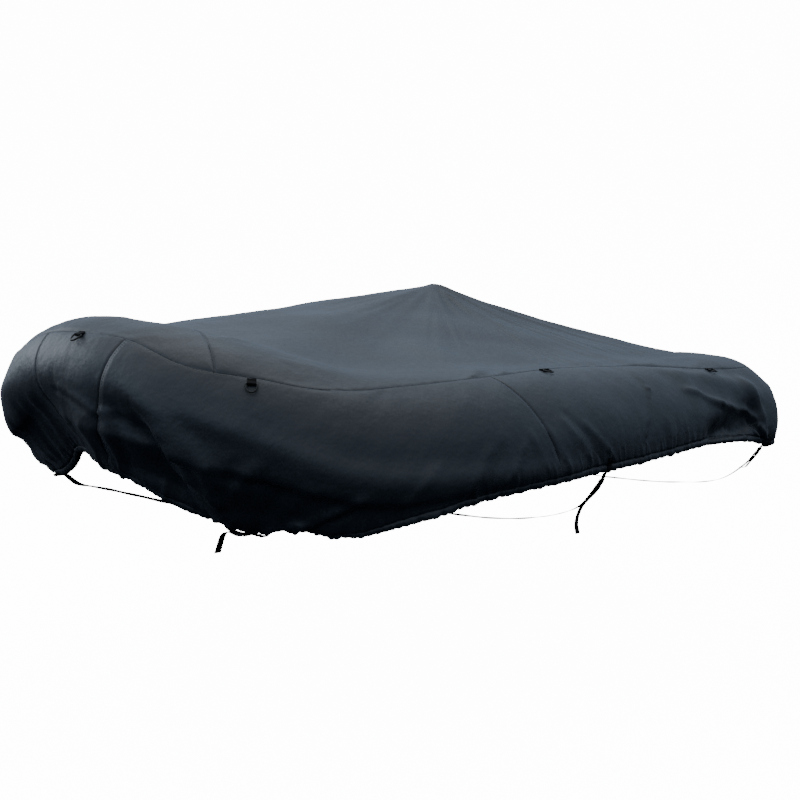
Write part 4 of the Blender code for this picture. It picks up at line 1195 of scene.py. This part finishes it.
def build_camera():
    yaw, pitch, roll = CAMERA_TURN
    ahead = Vector((math.sin(yaw) * math.cos(pitch), math.cos(yaw) * math.cos(pitch), -math.sin(pitch)))
    right = Vector((math.cos(yaw), -math.sin(yaw), 0))
    up = right.cross(ahead)
    across = right * math.cos(roll) + up * math.sin(roll)
    upward = up * math.cos(roll) - right * math.sin(roll)
    lens = bpy.data.cameras.new("view")
    lens.lens, lens.sensor_width, lens.clip_start = LENS, 36.0, 0.05
    camera = bpy.data.objects.new("view", lens)
    camera.matrix_world = Matrix([(across[k], upward[k], -ahead[k], place) for k, place in
                                  enumerate(CAMERA_PLACE)] + [(0, 0, 0, 1)])
    bpy.context.scene.collection.objects.link(camera)
    bpy.context.scene.camera = camera


def add_light(name, place, target, size, power, colour=(1, 1, 1)):
    light = bpy.data.lights.new(name, "AREA")
    light.shape, light.size, light.size_y = "RECTANGLE", size[0], size[1]
    light.energy, light.color = power, colour
    lamp = bpy.data.objects.new(name, light)
    way = (Vector(place) - Vector(target)).to_track_quat("Z", "Y")
    lamp.matrix_world = Matrix.LocRotScale(Vector(place), way, None)
    bpy.context.scene.collection.objects.link(lamp)


def build_floor():
    """A pale round floor that curves up to a backdrop all round the cover."""
    work = Nodes("studio_floor", Roughness=0.9, Emission_Strength=14.0)
    work.shader.inputs["Emission Color"].default_value = (1, 1, 1, 1)
    soft = work.noise(work.space(), 1.2, 3.0)
    work.link(work.mix(soft, (0.80, 0.80, 0.80), (0.84, 0.84, 0.84)), "Base Color")
    rows = [(0.0, 0.0), (FLOOR_REACH, 0.0)]
    rows += [(FLOOR_REACH + BEND * math.sin(t), BEND - BEND * math.cos(t))
             for t in np.linspace(0.1, math.pi / 2, 14)]
    rows.append((FLOOR_REACH + BEND, BACKDROP))
    turns = np.linspace(0, 2 * math.pi, 73)
    points = [(reach * math.cos(t), reach * math.sin(t), FLOOR + rise) for t in turns for reach, rise in rows]
    floor = make_mesh("floor", points, grid_faces(len(turns), len(rows)), None, [work.material],
                      centre=np.array([0, 0, -30.0]))
    floor.visible_diffuse = floor.visible_glossy = floor.visible_shadow = False


def build_world():
    """A bright even sky that ends a little under the horizon."""
    world = bpy.data.worlds.new("studio")
    bpy.context.scene.world = world
    world.use_nodes = True
    work = Tree(world.node_tree)
    place = work.add("TexCoord").outputs["Generated"]
    height = work.add("SeparateXYZ", {0: place}).outputs["Z"]
    ramp = work.add("ValToRGB", {"Fac": work.span(height, -1, 1)})
    stops = ramp.color_ramp.elements
    for share, colour in SKY:
        stops.new(share).color = (*colour, 1)
    stops.remove(stops[-1])
    stops.remove(stops[0])
    # brighter on the side of the bow than on the side of the stern
    leaning = work.add("VectorMath", {0: place, 1: (-0.64, 0.768, 0)}, operation="DOT_PRODUCT")
    back = work.tree.nodes["Background"].inputs
    work.tree.links.new(ramp.outputs["Color"], back["Color"])
    work.tree.links.new(work.span(leaning.outputs["Value"], -0.8, 0.8, *SKY_STRENGTH), back["Strength"])


build_camera()
build_floor()
build_world()
add_light("sky", (0.4, 0.3, 3.6), (0, 0, 0), (4.0, 4.0), 56, (0.80, 0.90, 1.0))
add_light("bow", (-2.2, 4.2, 1.2), (-1.2, 0.2, -0.2), (2.6, 2.0), 55, (0.92, 0.96, 1.0))
